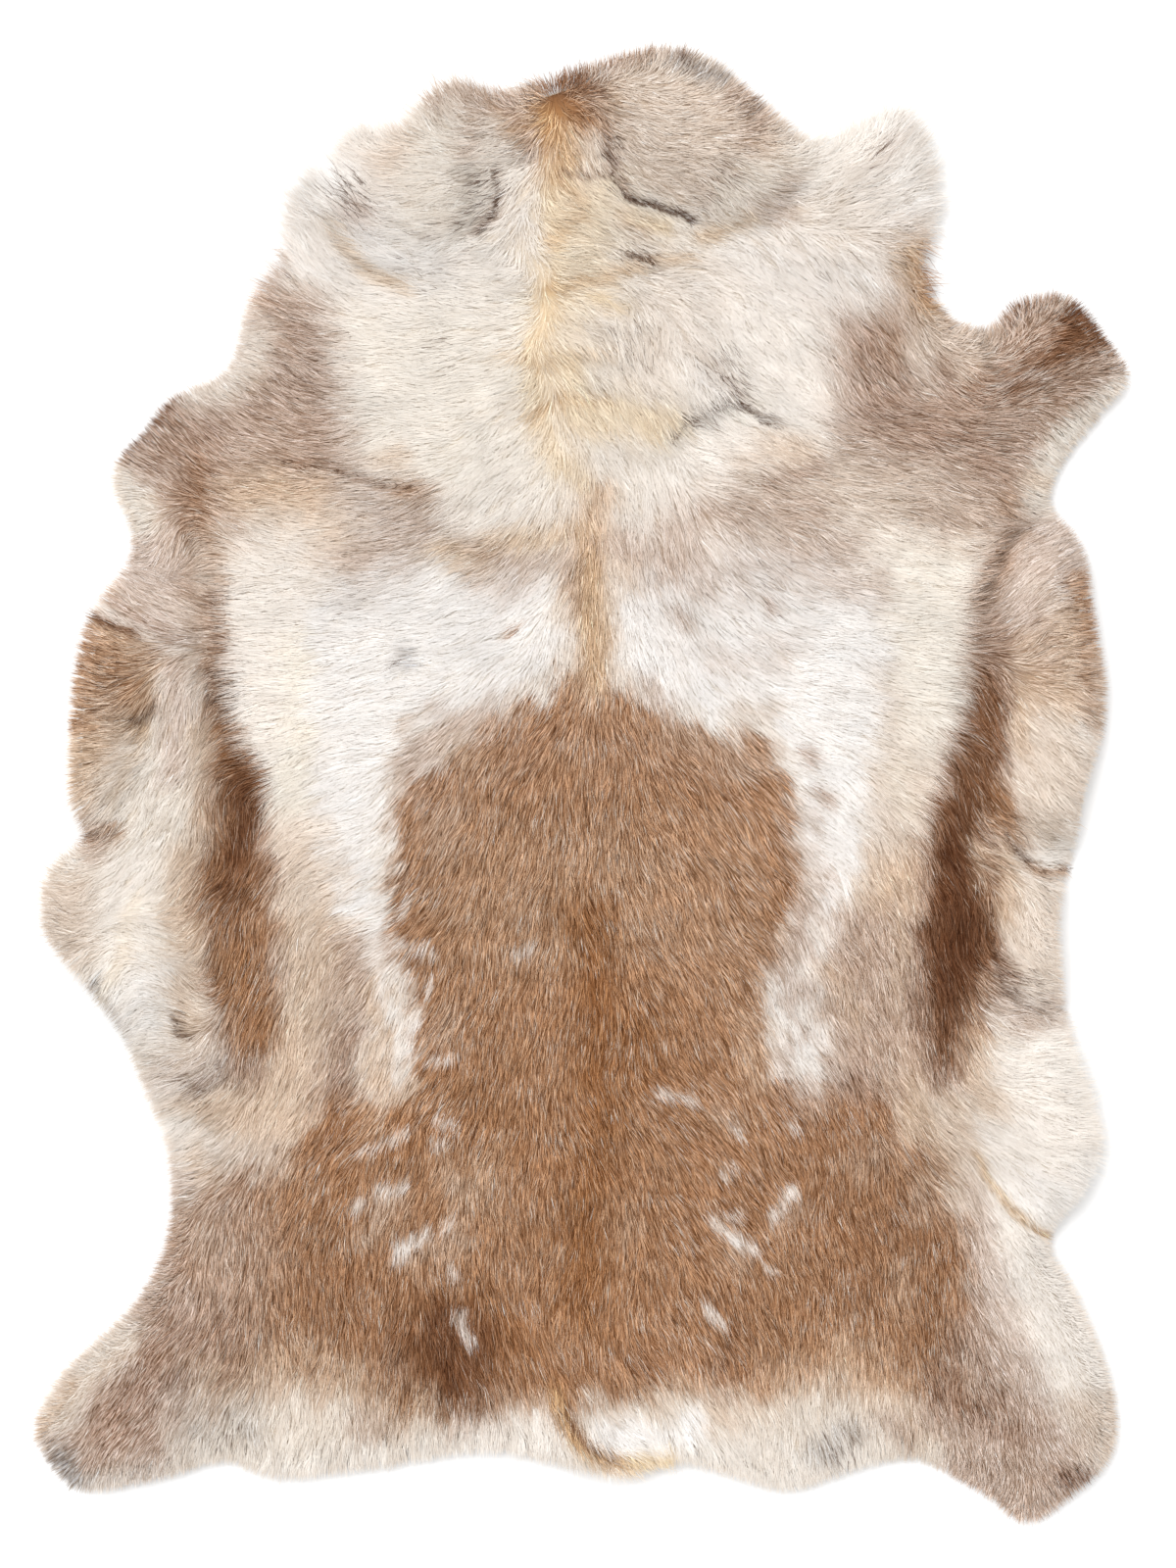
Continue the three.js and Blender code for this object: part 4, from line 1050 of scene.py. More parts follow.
# ---------------------------------------------------------------------------------------
# The lie of the hair: which way it was combed, read at places all over the hide, as
# [x, y, how far east, how far north]. Between them it turns smoothly.
# ---------------------------------------------------------------------------------------
LIE_NEAR, HABIT_NEAR = 15.0, 30.0  # within this distance of a place its row has the say
LIE = [
    # crown and ruff
    (60, 590, 0.6, 0.8), (110, 570, 0.9, 0.45), (70, 540, 1, 0.05), (125, 550, 1, -0.05),
    (60, 505, 1, -0.15), (40, 545, 0.9, -0.3), (100, 490, 0.85, -0.5), (150, 520, 1, -0.2),
    (-10, 565, 0.85, -0.3), (-12, 530, 0.6, -0.8), (-40, 545, -0.85, -0.4),
    (-60, 545, -0.7, -0.2), (-50, 510, -0.8, -0.5),
    (-120, 545, -0.5, 0.85), (-120, 500, -0.95, 0.1), (-85, 475, -0.9, -0.35),
    (-180, 470, -0.8, 0.55), (-240, 480, -0.7, 0.7), (-230, 420, -0.6, 0.75),
    (-265, 400, -0.8, -0.3), (200, 480, 0.8, 0.5), (250, 520, 0.7, 0.7), (260, 460, 0.95, 0.2),
    (262, 420, 0.3, -0.95), (-12, 502, 0.6, -0.8), (-14, 472, 0.9, -0.3),
    (-10, 442, 0.95, -0.2), (-10, 405, 0.9, -0.2), (25, 452, 0.8, -0.5), (8, 478, 0.85, -0.5),
    (20, 524, 0.6, -0.8), (60, 440, 0.7, -0.6), (-10, 350, 0.7, -0.6), (10, 300, 0.5, -0.85),
    # neck
    (-160, 420, -0.95, 0.2), (-160, 340, -1, 0), (-60, 400, -0.95, 0), (-60, 330, -0.9, -0.2),
    (-60, 270, -0.8, -0.5), (-150, 290, -1, -0.05), (60, 430, 0.95, 0.1), (40, 375, 0.3, -0.9),
    (95, 355, 0.6, -0.75), (150, 400, 0.6, -0.5), (140, 430, 0.7, -0.7), (190, 420, 0.6, -0.8),
    (100, 260, 0.9, -0.2), (60, 240, 0.4, -0.8), (30, 230, 0.2, -1), (5, 230, 0, -1),
    # shoulders and forelegs
    (-240, 330, -0.85, 0.45), (-280, 290, -0.85, 0.5), (-340, 270, -0.8, 0.5),
    (-350, 250, -0.7, 0.5), (-250, 240, -0.9, 0.1), (-200, 240, -1, 0), (-290, 215, -0.95, 0.3),
    (230, 350, 0.5, -0.85), (300, 390, 0.5, -0.8), (300, 340, 0.7, -0.6), (330, 330, 0.9, 0.4),
    (380, 350, 0.9, 0.35), (430, 345, 0.9, 0), (395, 290, 0.6, -0.6), (250, 290, 0.95, -0.3),
    (300, 260, 0.95, -0.3), (200, 250, 0.95, -0.25), (330, 240, 0.9, -0.4),
    # back
    (5, 150, 0, -1), (0, 0, 0, -1), (0, -200, 0, -1), (0, -400, 0, -1), (-40, 180, -0.6, -0.7),
    (-90, 190, -0.9, -0.4), (-90, 130, -0.95, -0.3), (-150, 120, -1, -0.15),
    (-190, 50, -1, -0.2), (-200, -40, -0.95, -0.3), (-60, 60, -0.5, -0.85),
    (-60, -20, -0.25, -0.97), (-130, -30, -0.45, -0.9), (-80, -150, -0.15, -1),
    (-150, -180, -0.4, -0.9), (-180, -120, -0.8, -0.5), (60, 60, 0.35, -0.9),
    (100, 0, 0.55, -0.8), (140, -60, 0.5, -0.85), (60, -100, 0.4, -0.9), (60, 150, 0.5, -0.75),
    (110, 130, 0.75, -0.6), (180, 100, 0.95, -0.25), (180, 40, 0.9, -0.4), (190, -30, 0.7, -0.6),
    (180, -120, 0.5, -0.85), (170, -210, 0.5, -0.85),
    # left flank and belly
    (-260, 100, -1, -0.05), (-260, 30, -0.95, -0.25), (-240, -60, -0.6, -0.8),
    (-230, -150, -0.25, -0.97), (-290, -20, 0.15, -1), (-290, -120, -0.1, -1),
    (-285, -200, 0, -1), (-330, 200, -0.3, -0.9), (-340, 150, -0.8, 0.5), (-400, 100, -0.9, 0.3),
    (-395, 40, -1, 0), (-395, -20, -0.7, -0.6), (-335, 60, -0.2, -1), (-350, 0, -0.5, -0.85),
    (-330, -60, -0.6, -0.8), (-380, -80, -0.8, -0.6), (-425, -110, -0.9, 0.2),
    (-390, -160, -0.6, -0.8), (-340, -120, -0.9, 0.3), (-320, -180, -0.7, 0.6),
    (-330, -225, -0.95, -0.2), (-360, -200, -0.8, -0.5),
    # right flank and belly
    (270, 150, 1, -0.1), (270, 80, 0.98, -0.2), (260, 20, 0.85, -0.5), (250, -60, 0.4, -0.9),
    (240, -160, 0.2, -0.97), (300, 0, 0.4, -0.9), (300, -100, 0.1, -1), (295, -200, 0.1, -1),
    (325, 80, 0.4, -0.85), (350, 180, 0.8, 0.55), (350, 120, 0.8, 0.6), (400, 120, 1, 0.1),
    (380, 40, 0.7, -0.6), (350, 0, 0.6, -0.75), (400, 0, 0.8, -0.5), (340, -30, 0.8, -0.6),
    (370, -60, 0.9, -0.2), (360, -110, 0.3, -0.9), (350, -165, 0.9, -0.3),
    (350, -220, 0.95, 0.1), (400, -240, 0.95, 0), (380, -300, 0.9, -0.3), (320, -260, 0.8, -0.5),
    # rump and hind legs
    (80, -250, 0.5, -0.85), (100, -350, 0.5, -0.85), (60, -450, 0.35, -0.9),
    (150, -300, 0.4, -0.9), (200, -320, 0.15, -1), (200, -450, 0.05, -1), (270, -400, 0, -1),
    (-270, -290, -0.4, -0.9), (-320, -300, -0.8, -0.3), (-330, -380, -0.3, -0.9),
    (-300, -380, -0.1, -1), (-240, -400, 0, -1), (-360, -450, -0.5, -0.85),
    (-410, -520, -0.6, -0.8), (-330, -520, -0.5, -0.85), (-250, -540, -0.05, -1),
    (-100, -540, -0.1, -1), (60, -540, 0.2, -1), (200, -540, 0.2, -1), (320, -340, 0.5, -0.85),
    (360, -420, 0.5, -0.85), (400, -480, 0.4, -0.9), (320, -500, 0.15, -0.97),
    (350, -570, 0.2, -0.95), (410, -540, 0.5, -0.8),
    # tail
    (-20, -505, 0.2, -1), (-6, -535, 0.55, -0.8), (18, -556, 0.95, -0.3), (48, -552, 1, 0.15),
]
HABIT = [
    # x, y, length of the hair, its bow as a share of that, how far it gathers in locks
    (0, 0, 19, 0.04, 0.12), (-110, 100, 22, 0.05, 0.1), (110, 100, 22, 0.05, 0.14),
    (0, -250, 18, 0.04, 0.12), (-150, -350, 18, 0.05, 0.16), (150, -350, 18, 0.05, 0.16),
    (0, 400, 24, 0.1, 0.2), (60, 320, 27, 0.1, 0.2), (-150, 350, 24, 0.06, 0.06),
    (150, 350, 26, 0.08, 0.1), (-220, 460, 38, 0.1, 0.3), (240, 490, 40, 0.12, 0.3),
    (60, 570, 17, 0.06, 0.12), (90, 520, 17, 0.06, 0.12), (20, 440, 20, 0.08, 0.15),
    (-110, 530, 30, 0.1, 0.2), (-270, 290, 19, 0.05, 0.14),
    (270, 300, 21, 0.06, 0.18), (-370, 270, 13, 0.05, 0.15), (400, 350, 13, 0.05, 0.15),
    (-390, 60, 19, 0.06, 0.3), (390, 100, 21, 0.06, 0.25), (-390, -120, 24, 0.08, 0.2),
    (370, -100, 22, 0.1, 0.25), (370, -260, 28, 0.06, 0.12), (-260, 80, 24, 0.05, 0.1),
    (260, 80, 24, 0.05, 0.08), (-280, -150, 20, 0.04, 0.16), (300, -130, 20, 0.04, 0.16),
    (-420, -520, 12, 0.03, 0.12), (360, -430, 16, 0.04, 0.06), (390, -550, 12, 0.03, 0.1),
    (0, -545, 26, 0.07, 0.3), (-250, -530, 22, 0.06, 0.2), (200, -530, 22, 0.06, 0.2),
]

OVERHANG = [
    # x, y, radius, and how much further past the solid's edge the hair reaches there
    (-418, -22, 30, 9), (-436, -80, 40, 6), (-392, 150, 28, 10), (-262, 406, 35, 9),
    (-236, 455, 30, 8), (-150, 540, 40, 7), (-205, 505, 25, 5), (148, 552, 35, 10),
    (92, 592, 35, 7), (58, 604, 24, 5), (345, 392, 24, 12), (-30, 582, 45, 9),
    (316, 380, 24, 15), (380, 402, 22, 10), (208, 530, 22, 10), (411, -10, 36, -9),
    (413, -331, 30, -4), (290, 455, 32, -9), (280, 535, 32, -9), (-425, -510, 40, 9),
    (-446, -548, 24, 6), (-390, -450, 30, 5), (355, -604, 24, 4), (-382, 246, 30, 6),
    (-348, 306, 24, 5), (-345, -320, 70, 3), (396, -204, 16, 6), (296, -567, 30, 4),
    (379, -591, 30, 3), (-418, 105, 40, 3),
]


def spread(rows, x, y, near):
    """Carries the last columns of a table of places to any places, the nearest rows most."""
    rows = np.array(rows, float)
    total = np.zeros(x.shape + (rows.shape[1] - 2,))
    weights = np.zeros(x.shape)
    for row in rows:
        weight = 1 / ((x - row[0]) ** 2 + (y - row[1]) ** 2 + near * near) ** 2
        total += weight[..., None] * row[2:]
        weights += weight
    return total / weights[..., None]


table_x, table_y = field_x - UNDER_CAMERA[0], field_y - UNDER_CAMERA[1]
lie = spread(LIE, table_x, table_y, LIE_NEAR)
lie /= np.maximum(np.hypot(lie[..., 0], lie[..., 1]), 1e-6)[..., None]
habits = spread(HABIT, table_x, table_y, HABIT_NEAR)
hair_length, hair_bow, hair_locks = np.moveaxis(habits, -1, 0)
rise_x, rise_y = np.gradient(hair_tops, STEP)


def close_to(x, y, reach):
    """How close each spot is to a place: 1 at the place, about a third at the reach."""
    return np.exp(-((table_x - x) ** 2 + (table_y - y) ** 2) / (reach * reach))


overhang = sum(by * close_to(x, y, reach) for x, y, reach, by in OVERHANG)
grizzled = np.zeros(field_x.shape)
for x, y, reach, share in GRIZZLE:
    grizzled = np.maximum(grizzled, share * close_to(x, y, reach))

# ---------------------------------------------------------------------------------------
# The guard hair: hollow, straight, pointed hairs, 12 to 40 mm long, that lie over each
# other in locks. Each is rooted in the skin, widest near its middle, and dies to a point.
# ---------------------------------------------------------------------------------------
SOWN_EVERY = 1.39                 # spacing of the roots
SOWN_ASTRAY = 0.6                 # a root is off its row by up to this much
FIRST_ROOT = 0.36                 # the outermost roots lie this share of their length inside
HAIR_WIDTH = 0.48
WIDTH_VARIES = 0.25               # from hair to hair, as a share
LENGTH_VARIES = 0.18
LOCK_LENGTH_VARIES = 0.2          # and from lock to lock
VARIES_WITHIN = (0.5, 1.6)
COMB_WANDERS = ((26, 0.22, 11), (9, 0.14, 12))        # size of a blot, its turn, seed
LOCK_SIZE = 8.0                   # width of a lock
LOCK_STRETCH = 2.4                # a lock is this many times longer than wide
LOCK_TURN = 0.3                   # how far a lock turns as a whole
LOCK_SINK = 2.4                   # how much lower the hair lies between two locks
LOCK_GATHERS, GATHER_VARIES = 0.7, 0.6      # a tip lies this share nearer its lock's middle
BOW_VARIES = 0.5                  # from hair to hair
TURN_OUT = 0.8                    # near the edge the hair turns outwards by this share,
TURN_FROM, TURN_WITHIN = 6.0, 26.0          # fully up to here, and not at all that much further
TURN_VARIES = 5.0
WISPY_FROM, WISPY_OVER = 30.0, 8.0          # hair longer than this ends in wisps
WISP_REACH = 26.0                 # that stand up to this far past the outline
OUTLINE_UNEVEN = (-4, 5)          # the coat's outline wanders between these
LEAST_REACH = 5.0                 # a hair at the edge is at least this long
MIDDLE_AT = 0.42                  # where along the hair its widest place is
GATHERED_MIDDLE = 0.4             # share of the tip's gathering that its middle has
ROOT_DEPTH, MIDDLE_DEPTH, TIP_DEPTH = 8.5, 2.2, 0.3   # under the top of the coat
DEPTH_VARIES, TIP_VARIES = 0.45, 0.7
IN_SKIN = 0.5                     # a root reaches at most this far into the skin
OVER_FLOOR = 0.4                  # no hair lies lower than this
HAIR_ROLL = 0.6                   # a hair is turned about its length by up to this angle
RELIEF = 0.7                      # fine hair shows the slope under it this much
LOCK_RELIEF, HAIR_RELIEF = 0.7, 0.08        # and the roundness of its lock and of itself
FROSTED, FROSTED_MIDDLE = 0.9, 0.6          # the most that a brown hair's tip is paled: its frost, and painted sheen
FROST_CLUMPS, FROST_STREAKS = 0.7, 0.5      # it is so in clumps and streaks
CLUMP_SIZE, CLUMP_STRETCH = 8, 3
DEEP_BELOW, DEEP_OVER, DEEP_FROST = 125, 50, 0.75     # the darkest hair is hardly paled
TIP_PALER = 1.02
STREAK_WIDTH = 0.9                # neighbouring hairs share their shade over this width
STREAK_STRETCH = 6.0
STREAK_PATCH = 12.0
SHADE_VARIES = (0.01, 0.27)       # from hair to hair: in white hair, and what brown hair adds
STREAK_VARIES = (0.01, 0.13)      # from streak to streak, in the same way
# The second is painted shade: hair at a lock's side, between two locks, is made darker.
LOCK_SHADE, LOCK_GAP_PAINTED_SHADE = 0.1, 0.16
SHADE_WITHIN = (0.4, 1.5)
WARM_SHADE = (0.8, 1.0, 1.2)      # a darker hair is also warmer, and a paler one greyer, so painted shade is warm
ROOT_PAINTED_SHADE = (0.16, 0.20, 0.25)   # painted shade: how much darker a brown hair is made at its root, deep in the coat
PALE_ROOT = 0.25                  # share of that in a white hair
EDGE_PAINTED_SHADE = (0.05, 0.08, 0.11)    # painted shade: hair near the edge is made darker and warmer, over this distance
EDGE_THIN = 16.0                  # over this distance
SOOTY = 0.13                      # share of dark hairs in a fully grizzled place
SOOT_LEAST, SOOT_TUFT, SOOT_MOST = 0.25, 0.3, 0.9     # how dark such a hair is, and in a tuft
TONE_AT = 0.55                    # where along the hair its tone belongs
BLURRED_ALONG, BLURRED_ACROSS = 2.5, 1.3    # hairs of two tones mix over this distance,
BLURRED_ABOVE = 4.0               # but not in a crease that is this deep
FAR = 900                         # past the hide on every side
QUARTERS = [
    # name, west side, east side, south side, north side
    ("neck_left", -FAR, 0, 245, FAR), ("neck_right", 0, FAR, 245, FAR),
    ("shoulders_left", -FAR, 0, 0, 245), ("shoulders_right", 0, FAR, 0, 245),
    ("back_left", -FAR, 0, -250, 0), ("back_right", 0, FAR, -250, 0),
    ("rump_left", -FAR, 0, -FAR, -250), ("rump_right", 0, FAR, -FAR, -250),
]


def guard_hair():
    """Matt hair in the coat's colours."""
    shader = Shader("guard hair")
    tone = shader.node("ShaderNodeAttribute", {"attribute_name": "coat"})
    return shader.surface(Base_Color=tone, Roughness=0.75, Specular_IOR_Level=0.02)


def in_locks(x, y, ahead):
    """For each root, its lock: how far it lies to the lock's side, and the lock's own draws."""
    chance = np.random.default_rng(21)
    cell_x, cell_y = np.floor(x / LOCK_SIZE).astype(int), np.floor(y / LOCK_SIZE).astype(int)
    offsets = chance.uniform(0, 1, (256, 256, 2))
    draws = chance.normal(0, 1, (256, 256, 3))
    best = np.full(x.shape, np.inf)
    side = np.zeros(x.shape)
    found = np.zeros(x.shape + (3,))
    for step_x in range(-2, 3):
        for step_y in range(-2, 3):
            i, j = cell_x + step_x, cell_y + step_y
            spot = offsets[i % 256, j % 256]
            dx, dy = x - (i + spot[:, 0]) * LOCK_SIZE, y - (j + spot[:, 1]) * LOCK_SIZE
            along = (dx * ahead[:, 0] + dy * ahead[:, 1]) / LOCK_STRETCH
            across = dy * ahead[:, 0] - dx * ahead[:, 1]
            gap = along ** 2 + across ** 2
            nearer = gap < best
            best = np.where(nearer, gap, best)
            side = np.where(nearer, across, side)
            found[nearer] = draws[i % 256, j % 256][nearer]
    return side, found


def strand_noise(x, y):
    """Noise in thin streaks that follow the lie of the hair, from -1 to 1."""
    column, row = np.floor(x / STREAK_PATCH), np.floor(y / STREAK_PATCH)
    middle_x, middle_y = (column + 0.5) * STREAK_PATCH, (row + 0.5) * STREAK_PATCH
    ahead = read(lie, middle_x, middle_y)
    along = (x - middle_x) * ahead[:, 0] + (y - middle_y) * ahead[:, 1]
    across = (y - middle_y) * ahead[:, 0] - (x - middle_x) * ahead[:, 1]
    return grain_noise(across + 31.7 * column + 11.3 * row, along / STREAK_STRETCH + 17.9 * row,
                       STREAK_WIDTH, 51)


def turned(ahead, angle):
    """Directions turned to the left by an angle each."""
    c, s = np.cos(angle), np.sin(angle)
    return np.stack([ahead[:, 0] * c - ahead[:, 1] * s, ahead[:, 0] * s + ahead[:, 1] * c], -1)


def combed(x, y, gap, locks, stray, chance):
    """Which way each hair points, which way is out, and its place in its lock."""
    wander = sum(turn * grain_noise(x, y, size, seed) for size, turn, seed in COMB_WANDERS)
    ahead = turned(read(lie, x, y), wander)
    side, lock = in_locks(x, y, ahead)
    ahead = turned(ahead, LOCK_TURN * locks * lock[:, 0] + stray * chance.normal(0, 1, len(x)))
    outward = np.stack([read(outward_x, x, y), read(outward_y, x, y)], -1)
    past = gap - TURN_FROM + TURN_VARIES * chance.normal(0, 1, len(x))
    turn_out = TURN_OUT * eased(1 - past / TURN_WITHIN)[:, None]
    ahead = ahead * (1 - turn_out) + outward * turn_out
    ahead /= np.maximum(np.hypot(ahead[:, 0], ahead[:, 1]), 1e-6)[:, None]
    return ahead, outward, side, lock


def hair_lengths(x, y, gap, locks, lock, leaving, short, chance):
    """How long each hair is. Near the edge it ends at the coat's outline."""
    varied = 1 + LENGTH_VARIES * chance.normal(0, 1, len(x))
    varied = np.clip(varied + LOCK_LENGTH_VARIES * locks * lock[:, 1], *VARIES_WITHIN)
    length = short * read(hair_length, x, y) * varied
    wispy = eased((length - WISPY_FROM) / WISPY_OVER)
    wisp = WISP_REACH * wispy * chance.uniform(0, 1, len(x)) ** 3
    reach = gap + read(overhang, x, y) + chance.uniform(*OUTLINE_UNEVEN, len(x)) + wisp
    return np.minimum(length, np.maximum(reach, LEAST_REACH) / np.maximum(leaving, 0.2))


def hair_facing(x, y, ahead, across, roll, locks, side):
    """The way each hair faces the light: with the slope of the coat and the round of its lock."""
    facing = np.zeros((len(x), 3))
    facing[:, 0], facing[:, 1] = -read(rise_x, x, y), -read(rise_y, x, y)
    facing[:, :2] *= RELIEF
    round_of = HAIR_RELIEF * np.sin(roll) - LOCK_RELIEF * locks * side / LOCK_SIZE
    facing[:, :2] += across * round_of[:, None]
    facing[:, :2] -= ahead * HAIR_RELIEF
    facing[:, 2] = 1
    return facing / np.linalg.norm(facing, axis=1)[:, None]


def hair_tones(x, y, gap, ahead, across, length, locks, lock, aside, darkened, chance):
    """The tones of each hair's root, middle (twice) and tip."""
    count = len(x)
    loose = 1 - eased(read(pressed, x, y) / BLURRED_ABOVE)
    along = TONE_AT * length + BLURRED_ALONG * loose * chance.normal(0, 1, count)
    spot = np.stack([x, y], -1) + ahead * along[:, None]
    spot += across * (BLURRED_ACROSS * loose * chance.normal(0, 1, count))[:, None]
    tone = coat_tone(spot[:, 0], spot[:, 1])
    # Painted shade: the hair near the coat's edge is made darker and warmer.
    tone = tone * (1 - EDGE_PAINTED_SHADE * eased(1 - gap / EDGE_THIN)[:, None])
    brown = brown_share(tone)
    wispy = strand_noise(x, y)
    shade = 1 + (SHADE_VARIES[0] + SHADE_VARIES[1] * brown) * chance.normal(0, 1, count)
    shade += (STREAK_VARIES[0] + STREAK_VARIES[1] * brown) * wispy
    # Painted shade: hair at a lock's side, between two locks, is darker; the rest is the hair's own
    # tone.
    shade += locks * (LOCK_SHADE * lock[:, 1] - LOCK_GAP_PAINTED_SHADE * aside)
    tone = tone * np.clip(shade, *SHADE_WITHIN)[:, None] ** np.array(WARM_SHADE)
    soot = SOOTY * read(grizzled, x, y) + darkened > chance.uniform(0, 1, count)
    soot = soot * chance.uniform(SOOT_LEAST + SOOT_TUFT * darkened, SOOT_MOST, count)
    tone += (np.array(TONES["soot"]) - tone) * soot[:, None]
    clumped = 1 + FROST_CLUMPS * grain_noise(x / CLUMP_STRETCH, y, CLUMP_SIZE, 41)
    clumped = clumped + FROST_STREAKS * wispy
    deep = np.clip((DEEP_BELOW - tone.mean(axis=1)) / DEEP_OVER, 0, 1)
    # The pale tips: partly the coat's frosted tips, partly painted sheen, as the hair's own finish
    # has next to no gloss.
    frost_and_sheen = FROSTED * brown * (1 - DEEP_FROST * deep) * (1 - soot)
    frost_and_sheen *= clumped * chance.uniform(0, 1, count) ** 4
    paling_and_sheen = (np.array(TONES["oat"]) - tone) * frost_and_sheen[:, None]
    # Painted shade: each hair is darker at its root, deep under the other hairs.
    at_root = tone * (1 - np.array(ROOT_PAINTED_SHADE) * (PALE_ROOT + (1 - PALE_ROOT) * brown[:, None]))
    at_middle = tone + FROSTED_MIDDLE * paling_and_sheen
    at_tip = (tone + paling_and_sheen) * TIP_PALER
    return np.stack([at_root, at_middle, at_middle, at_tip], axis=1)


def grow(name, x, y, depth, chance, short=1.0, stray=0.1, darkened=0.0):
    """One piece of guard hair: a hair from each root, all joined in one mesh."""
    count = len(x)
    gap = read(smooth_gap, x, y)
    locks = read(hair_locks, x, y)
    ahead, outward, side, lock = combed(x, y, gap, locks, stray, chance)
    across = np.stack([-ahead[:, 1], ahead[:, 0]], -1)
    leaving = (ahead * outward).sum(axis=1)
    length = hair_lengths(x, y, gap, locks, lock, leaving, short, chance)
    sideways = -side * locks * (LOCK_GATHERS + GATHER_VARIES * chance.uniform(0, 1, count))
    bows = lock[:, 2] + BOW_VARIES * chance.normal(0, 1, count)
    bend = read(hair_bow, x, y) * length * bows

    root = np.stack([x, y], -1)
    middle = root + ahead * (MIDDLE_AT * length)[:, None]
    middle = middle + across * (GATHERED_MIDDLE * sideways + bend)[:, None]
    tip = root + ahead * length[:, None] + across * sideways[:, None]
    aside = np.clip(np.abs(side) / (0.5 * LOCK_SIZE), 0, 1) ** 2
    skin_top = read(unders, x, y) + SKIN_THICK
    sink = depth + LOCK_SINK * locks * aside + DEPTH_VARIES * chance.uniform(0, 1, count)
    root_z = read(hair_tops, x, y) - ROOT_DEPTH * short - sink
    root_z = np.maximum(root_z, skin_top - IN_SKIN)
    middle_z = read(hair_tops, middle[:, 0], middle[:, 1]) - MIDDLE_DEPTH * short - sink
    tip_z = read(hair_tops, tip[:, 0], tip[:, 1]) - TIP_DEPTH - sink
    tip_z = tip_z + TIP_VARIES * chance.normal(0, 1, count)
    root_z, middle_z, tip_z = (np.maximum(z, OVER_FLOOR) for z in (root_z, middle_z, tip_z))

    width = HAIR_WIDTH * np.clip(1 + WIDTH_VARIES * chance.normal(0, 1, count), *VARIES_WITHIN)
    roll = HAIR_ROLL * chance.uniform(-1, 1, count)
    flat, rise = (0.5 * width * np.cos(roll))[:, None] * across, 0.5 * width * np.sin(roll)
    corners = np.empty((count, 4, 3))
    corners[:, 0, :2], corners[:, 0, 2] = root, root_z
    corners[:, 1, :2], corners[:, 1, 2] = middle - flat, middle_z - rise
    corners[:, 2, :2], corners[:, 2, 2] = middle + flat, middle_z + rise
    corners[:, 3, :2], corners[:, 3, 2] = tip, tip_z
    first = 4 * np.arange(count)[:, None]
    faces = np.concatenate([first + [0, 1, 2], first + [2, 1, 3]])
    hair = mesh_piece(name, corners.reshape(-1, 3), faces)
    facing = hair_facing(x, y, ahead, across, roll, locks, side)
    hair.data.normals_split_custom_set_from_vertices(np.repeat(facing, 4, axis=0))
    tones = hair_tones(
        x, y, gap, ahead, across, length, locks, lock, aside, darkened, chance)
    colour_corners(hair, tones.reshape(-1, 3))
    hair.data.materials.append(guard_material)
    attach(hair, "root")
    return hair


guard_material = guard_hair()
sown_x, sown_y = np.meshgrid(
    np.arange(low[0], high[0], SOWN_EVERY), np.arange(low[1], high[1], SOWN_EVERY), indexing="ij")
scatter = np.random.default_rng(5)
sown_x = (sown_x + scatter.uniform(-SOWN_ASTRAY, SOWN_ASTRAY, sown_x.shape)).ravel()
sown_y = (sown_y + scatter.uniform(-SOWN_ASTRAY, SOWN_ASTRAY, sown_y.shape)).ravel()
kept = read(smooth_gap, sown_x, sown_y) > FIRST_ROOT * read(hair_length, sown_x, sown_y)
sown_x, sown_y = sown_x[kept], sown_y[kept]
for number, (name, west_side, east_side, south_side, north_side) in enumerate(QUARTERS):
    here = (sown_x >= west_side) & (sown_x < east_side)
    here &= (sown_y >= south_side) & (sown_y < north_side)
    grow("guard_hair_" + name, sown_x[here], sown_y[here], 0.0,
                            np.random.default_rng(100 + number))

# ---------------------------------------------------------------------------------------
# The fringe: the lower hair at the edge, under the guard hair, that hangs from the skin's
# cut edge down to the surface and closes the coat's side.
# ---------------------------------------------------------------------------------------
FRINGE_BAND = 18.0                # the fringe is rooted within this distance of the edge
FRINGE_SHARE = 0.9                # share of the roots there that carry a lower hair
FRINGE_DEPTH = 3.5                # how far it lies under the guard hair

near_edge = read(smooth_gap, sown_x, sown_y) < FRINGE_BAND
chosen = near_edge & (scatter.uniform(0, 1, sown_x.shape) < FRINGE_SHARE)
grow("fringe", sown_x[chosen], sown_y[chosen], FRINGE_DEPTH,
                        np.random.default_rng(300))

# ---------------------------------------------------------------------------------------
# The dark hairs: short sooty guard hairs that stand in the creases of the skin and in a few
# tufts on the crown, ruff and neck, where they lie over the pale coat.
# ---------------------------------------------------------------------------------------
TUFT_SHARE = 0.18                 # share of the roots in a full tuft that carry a dark hair
DARK_DEPTH = -0.9                 # below zero: they lie this far over the guard hair
CREASE_WIDTH = 0.9                # how far from a crease its dark hairs stray

tufted = scatter.uniform(0, 1, sown_x.shape) < TUFT_SHARE * read(grizzled, sown_x, sown_y)
grow("dark_tufts", sown_x[tufted], sown_y[tufted], DARK_DEPTH,
                        np.random.default_rng(301), short=0.75, stray=0.15, darkened=1.0)
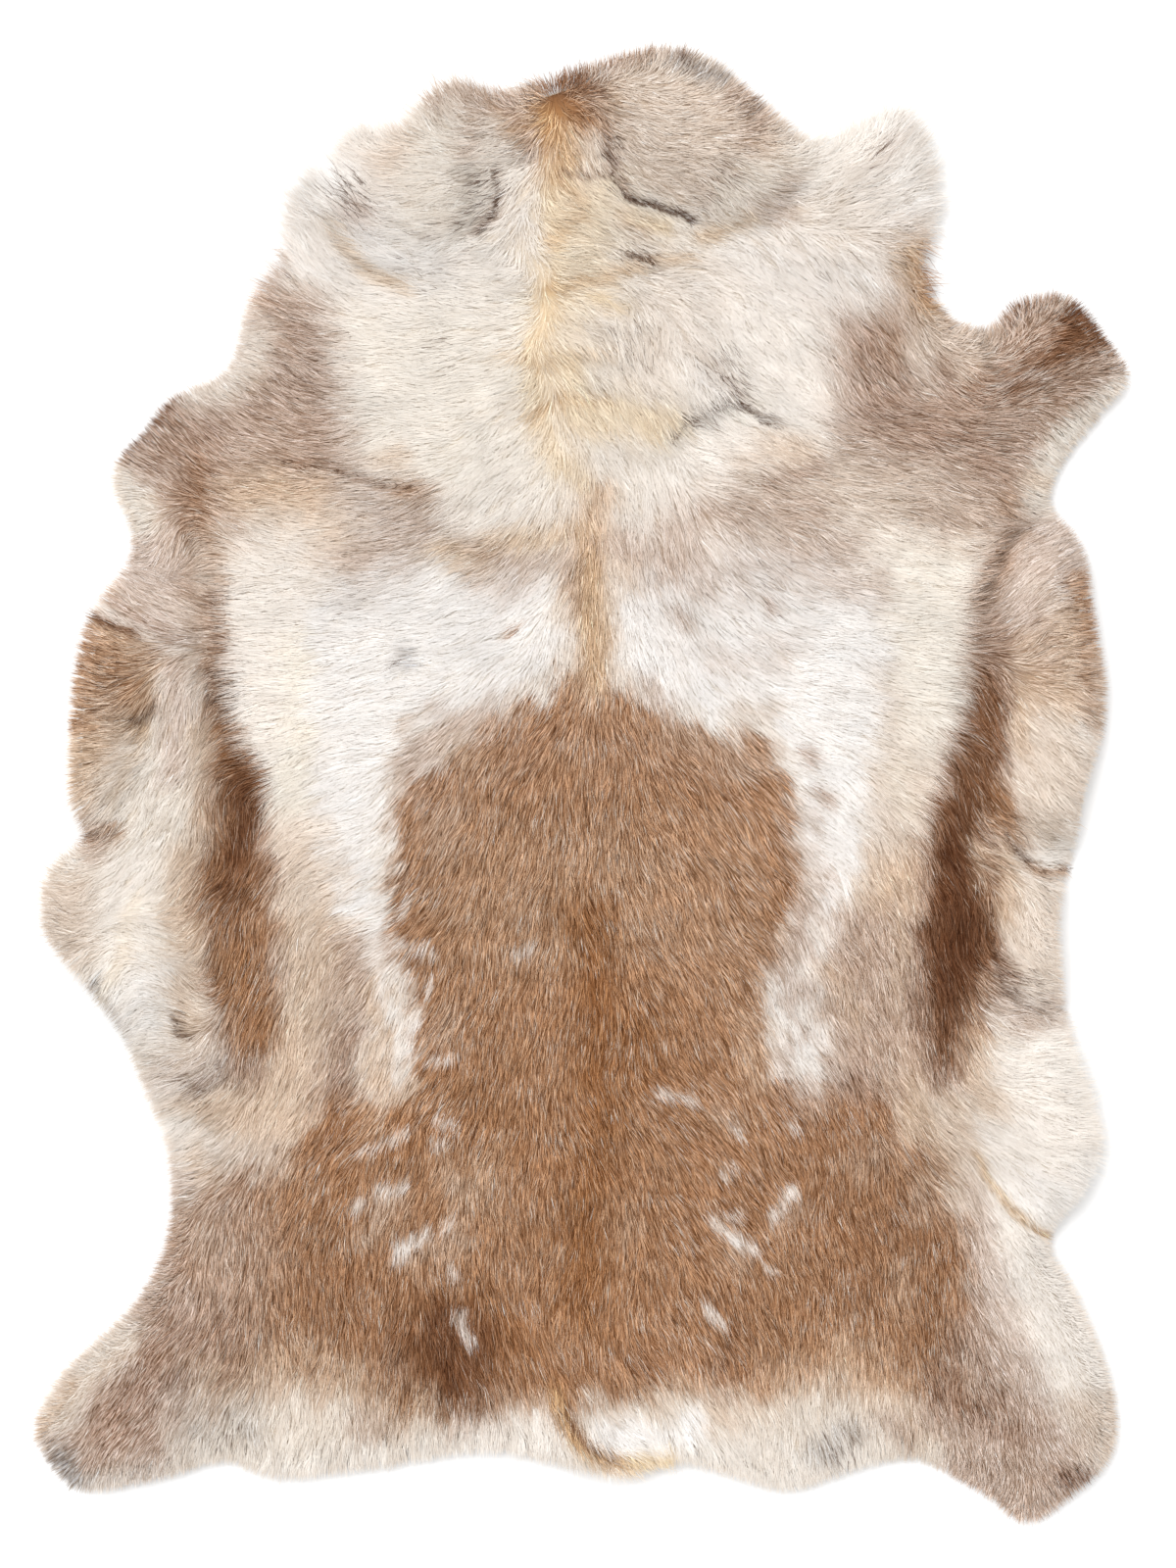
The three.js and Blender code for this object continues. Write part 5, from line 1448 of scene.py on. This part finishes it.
# The dark hairs in the creases are partly painted shade: they also stand for each crease's dark
# line.
crease_x, crease_y = [], []
for _, _, often, path in CREASES:
    for (ax, ay), (bx, by) in zip(path, path[1:]):
        share = scatter.uniform(0, 1, int(often * math.hypot(bx - ax, by - ay)))
        crease_x.append(ax + (bx - ax) * share + scatter.normal(0, CREASE_WIDTH, share.size))
        crease_y.append(ay + (by - ay) * share + scatter.normal(0, CREASE_WIDTH, share.size))
crease_x = np.concatenate(crease_x) + UNDER_CAMERA[0]
crease_y = np.concatenate(crease_y) + UNDER_CAMERA[1]
grow("crease_hairs", crease_x, crease_y, DARK_DEPTH,
                        np.random.default_rng(302), short=0.22, stray=0.4, darkened=1.0)

# ---------------------------------------------------------------------------------------
# The ground: a plain pale matt surface that the hide lies on. It is a little lower than the
# hide's lowest spot, so that the two don't touch.
# ---------------------------------------------------------------------------------------
GROUND_SIZE = 6.0
GROUND_DROP = 0.0003
GROUND_TONE = (0.93, 0.93, 0.93, 1)

bpy.ops.mesh.primitive_plane_add(size=GROUND_SIZE, location=(0, 0, -GROUND_DROP))
ground = bpy.context.active_object
ground.name = "ground"
bpy.ops.object.transform_apply(location=True)
plain = Shader("plain ground")
ground.data.materials.append(plain.surface(Base_Color=GROUND_TONE, Roughness=0.9))

# ---------------------------------------------------------------------------------------
# The light: a wide soft light from the upper left, and plain white light all round, as in
# a white room with a large window.
# ---------------------------------------------------------------------------------------
LIGHT_FROM = Vector((-0.36, 0.46, 1.0))
MAIN_LIGHT = 2.3
MAIN_LIGHT_SPREAD = 0.9
ALL_ROUND = 0.83

lamp = bpy.data.lights.new("main light", "SUN")
lamp.energy, lamp.angle = MAIN_LIGHT, MAIN_LIGHT_SPREAD
main_light = bpy.data.objects.new("main light", lamp)
bpy.context.scene.collection.objects.link(main_light)
main_light.rotation_euler = LIGHT_FROM.to_track_quat("Z", "Y").to_euler()
sky = bpy.data.worlds.new("all round")
sky.use_nodes = True
sky.node_tree.nodes["Background"].inputs["Color"].default_value = (1, 1, 1, 1)
sky.node_tree.nodes["Background"].inputs["Strength"].default_value = ALL_ROUND
bpy.context.scene.world = sky
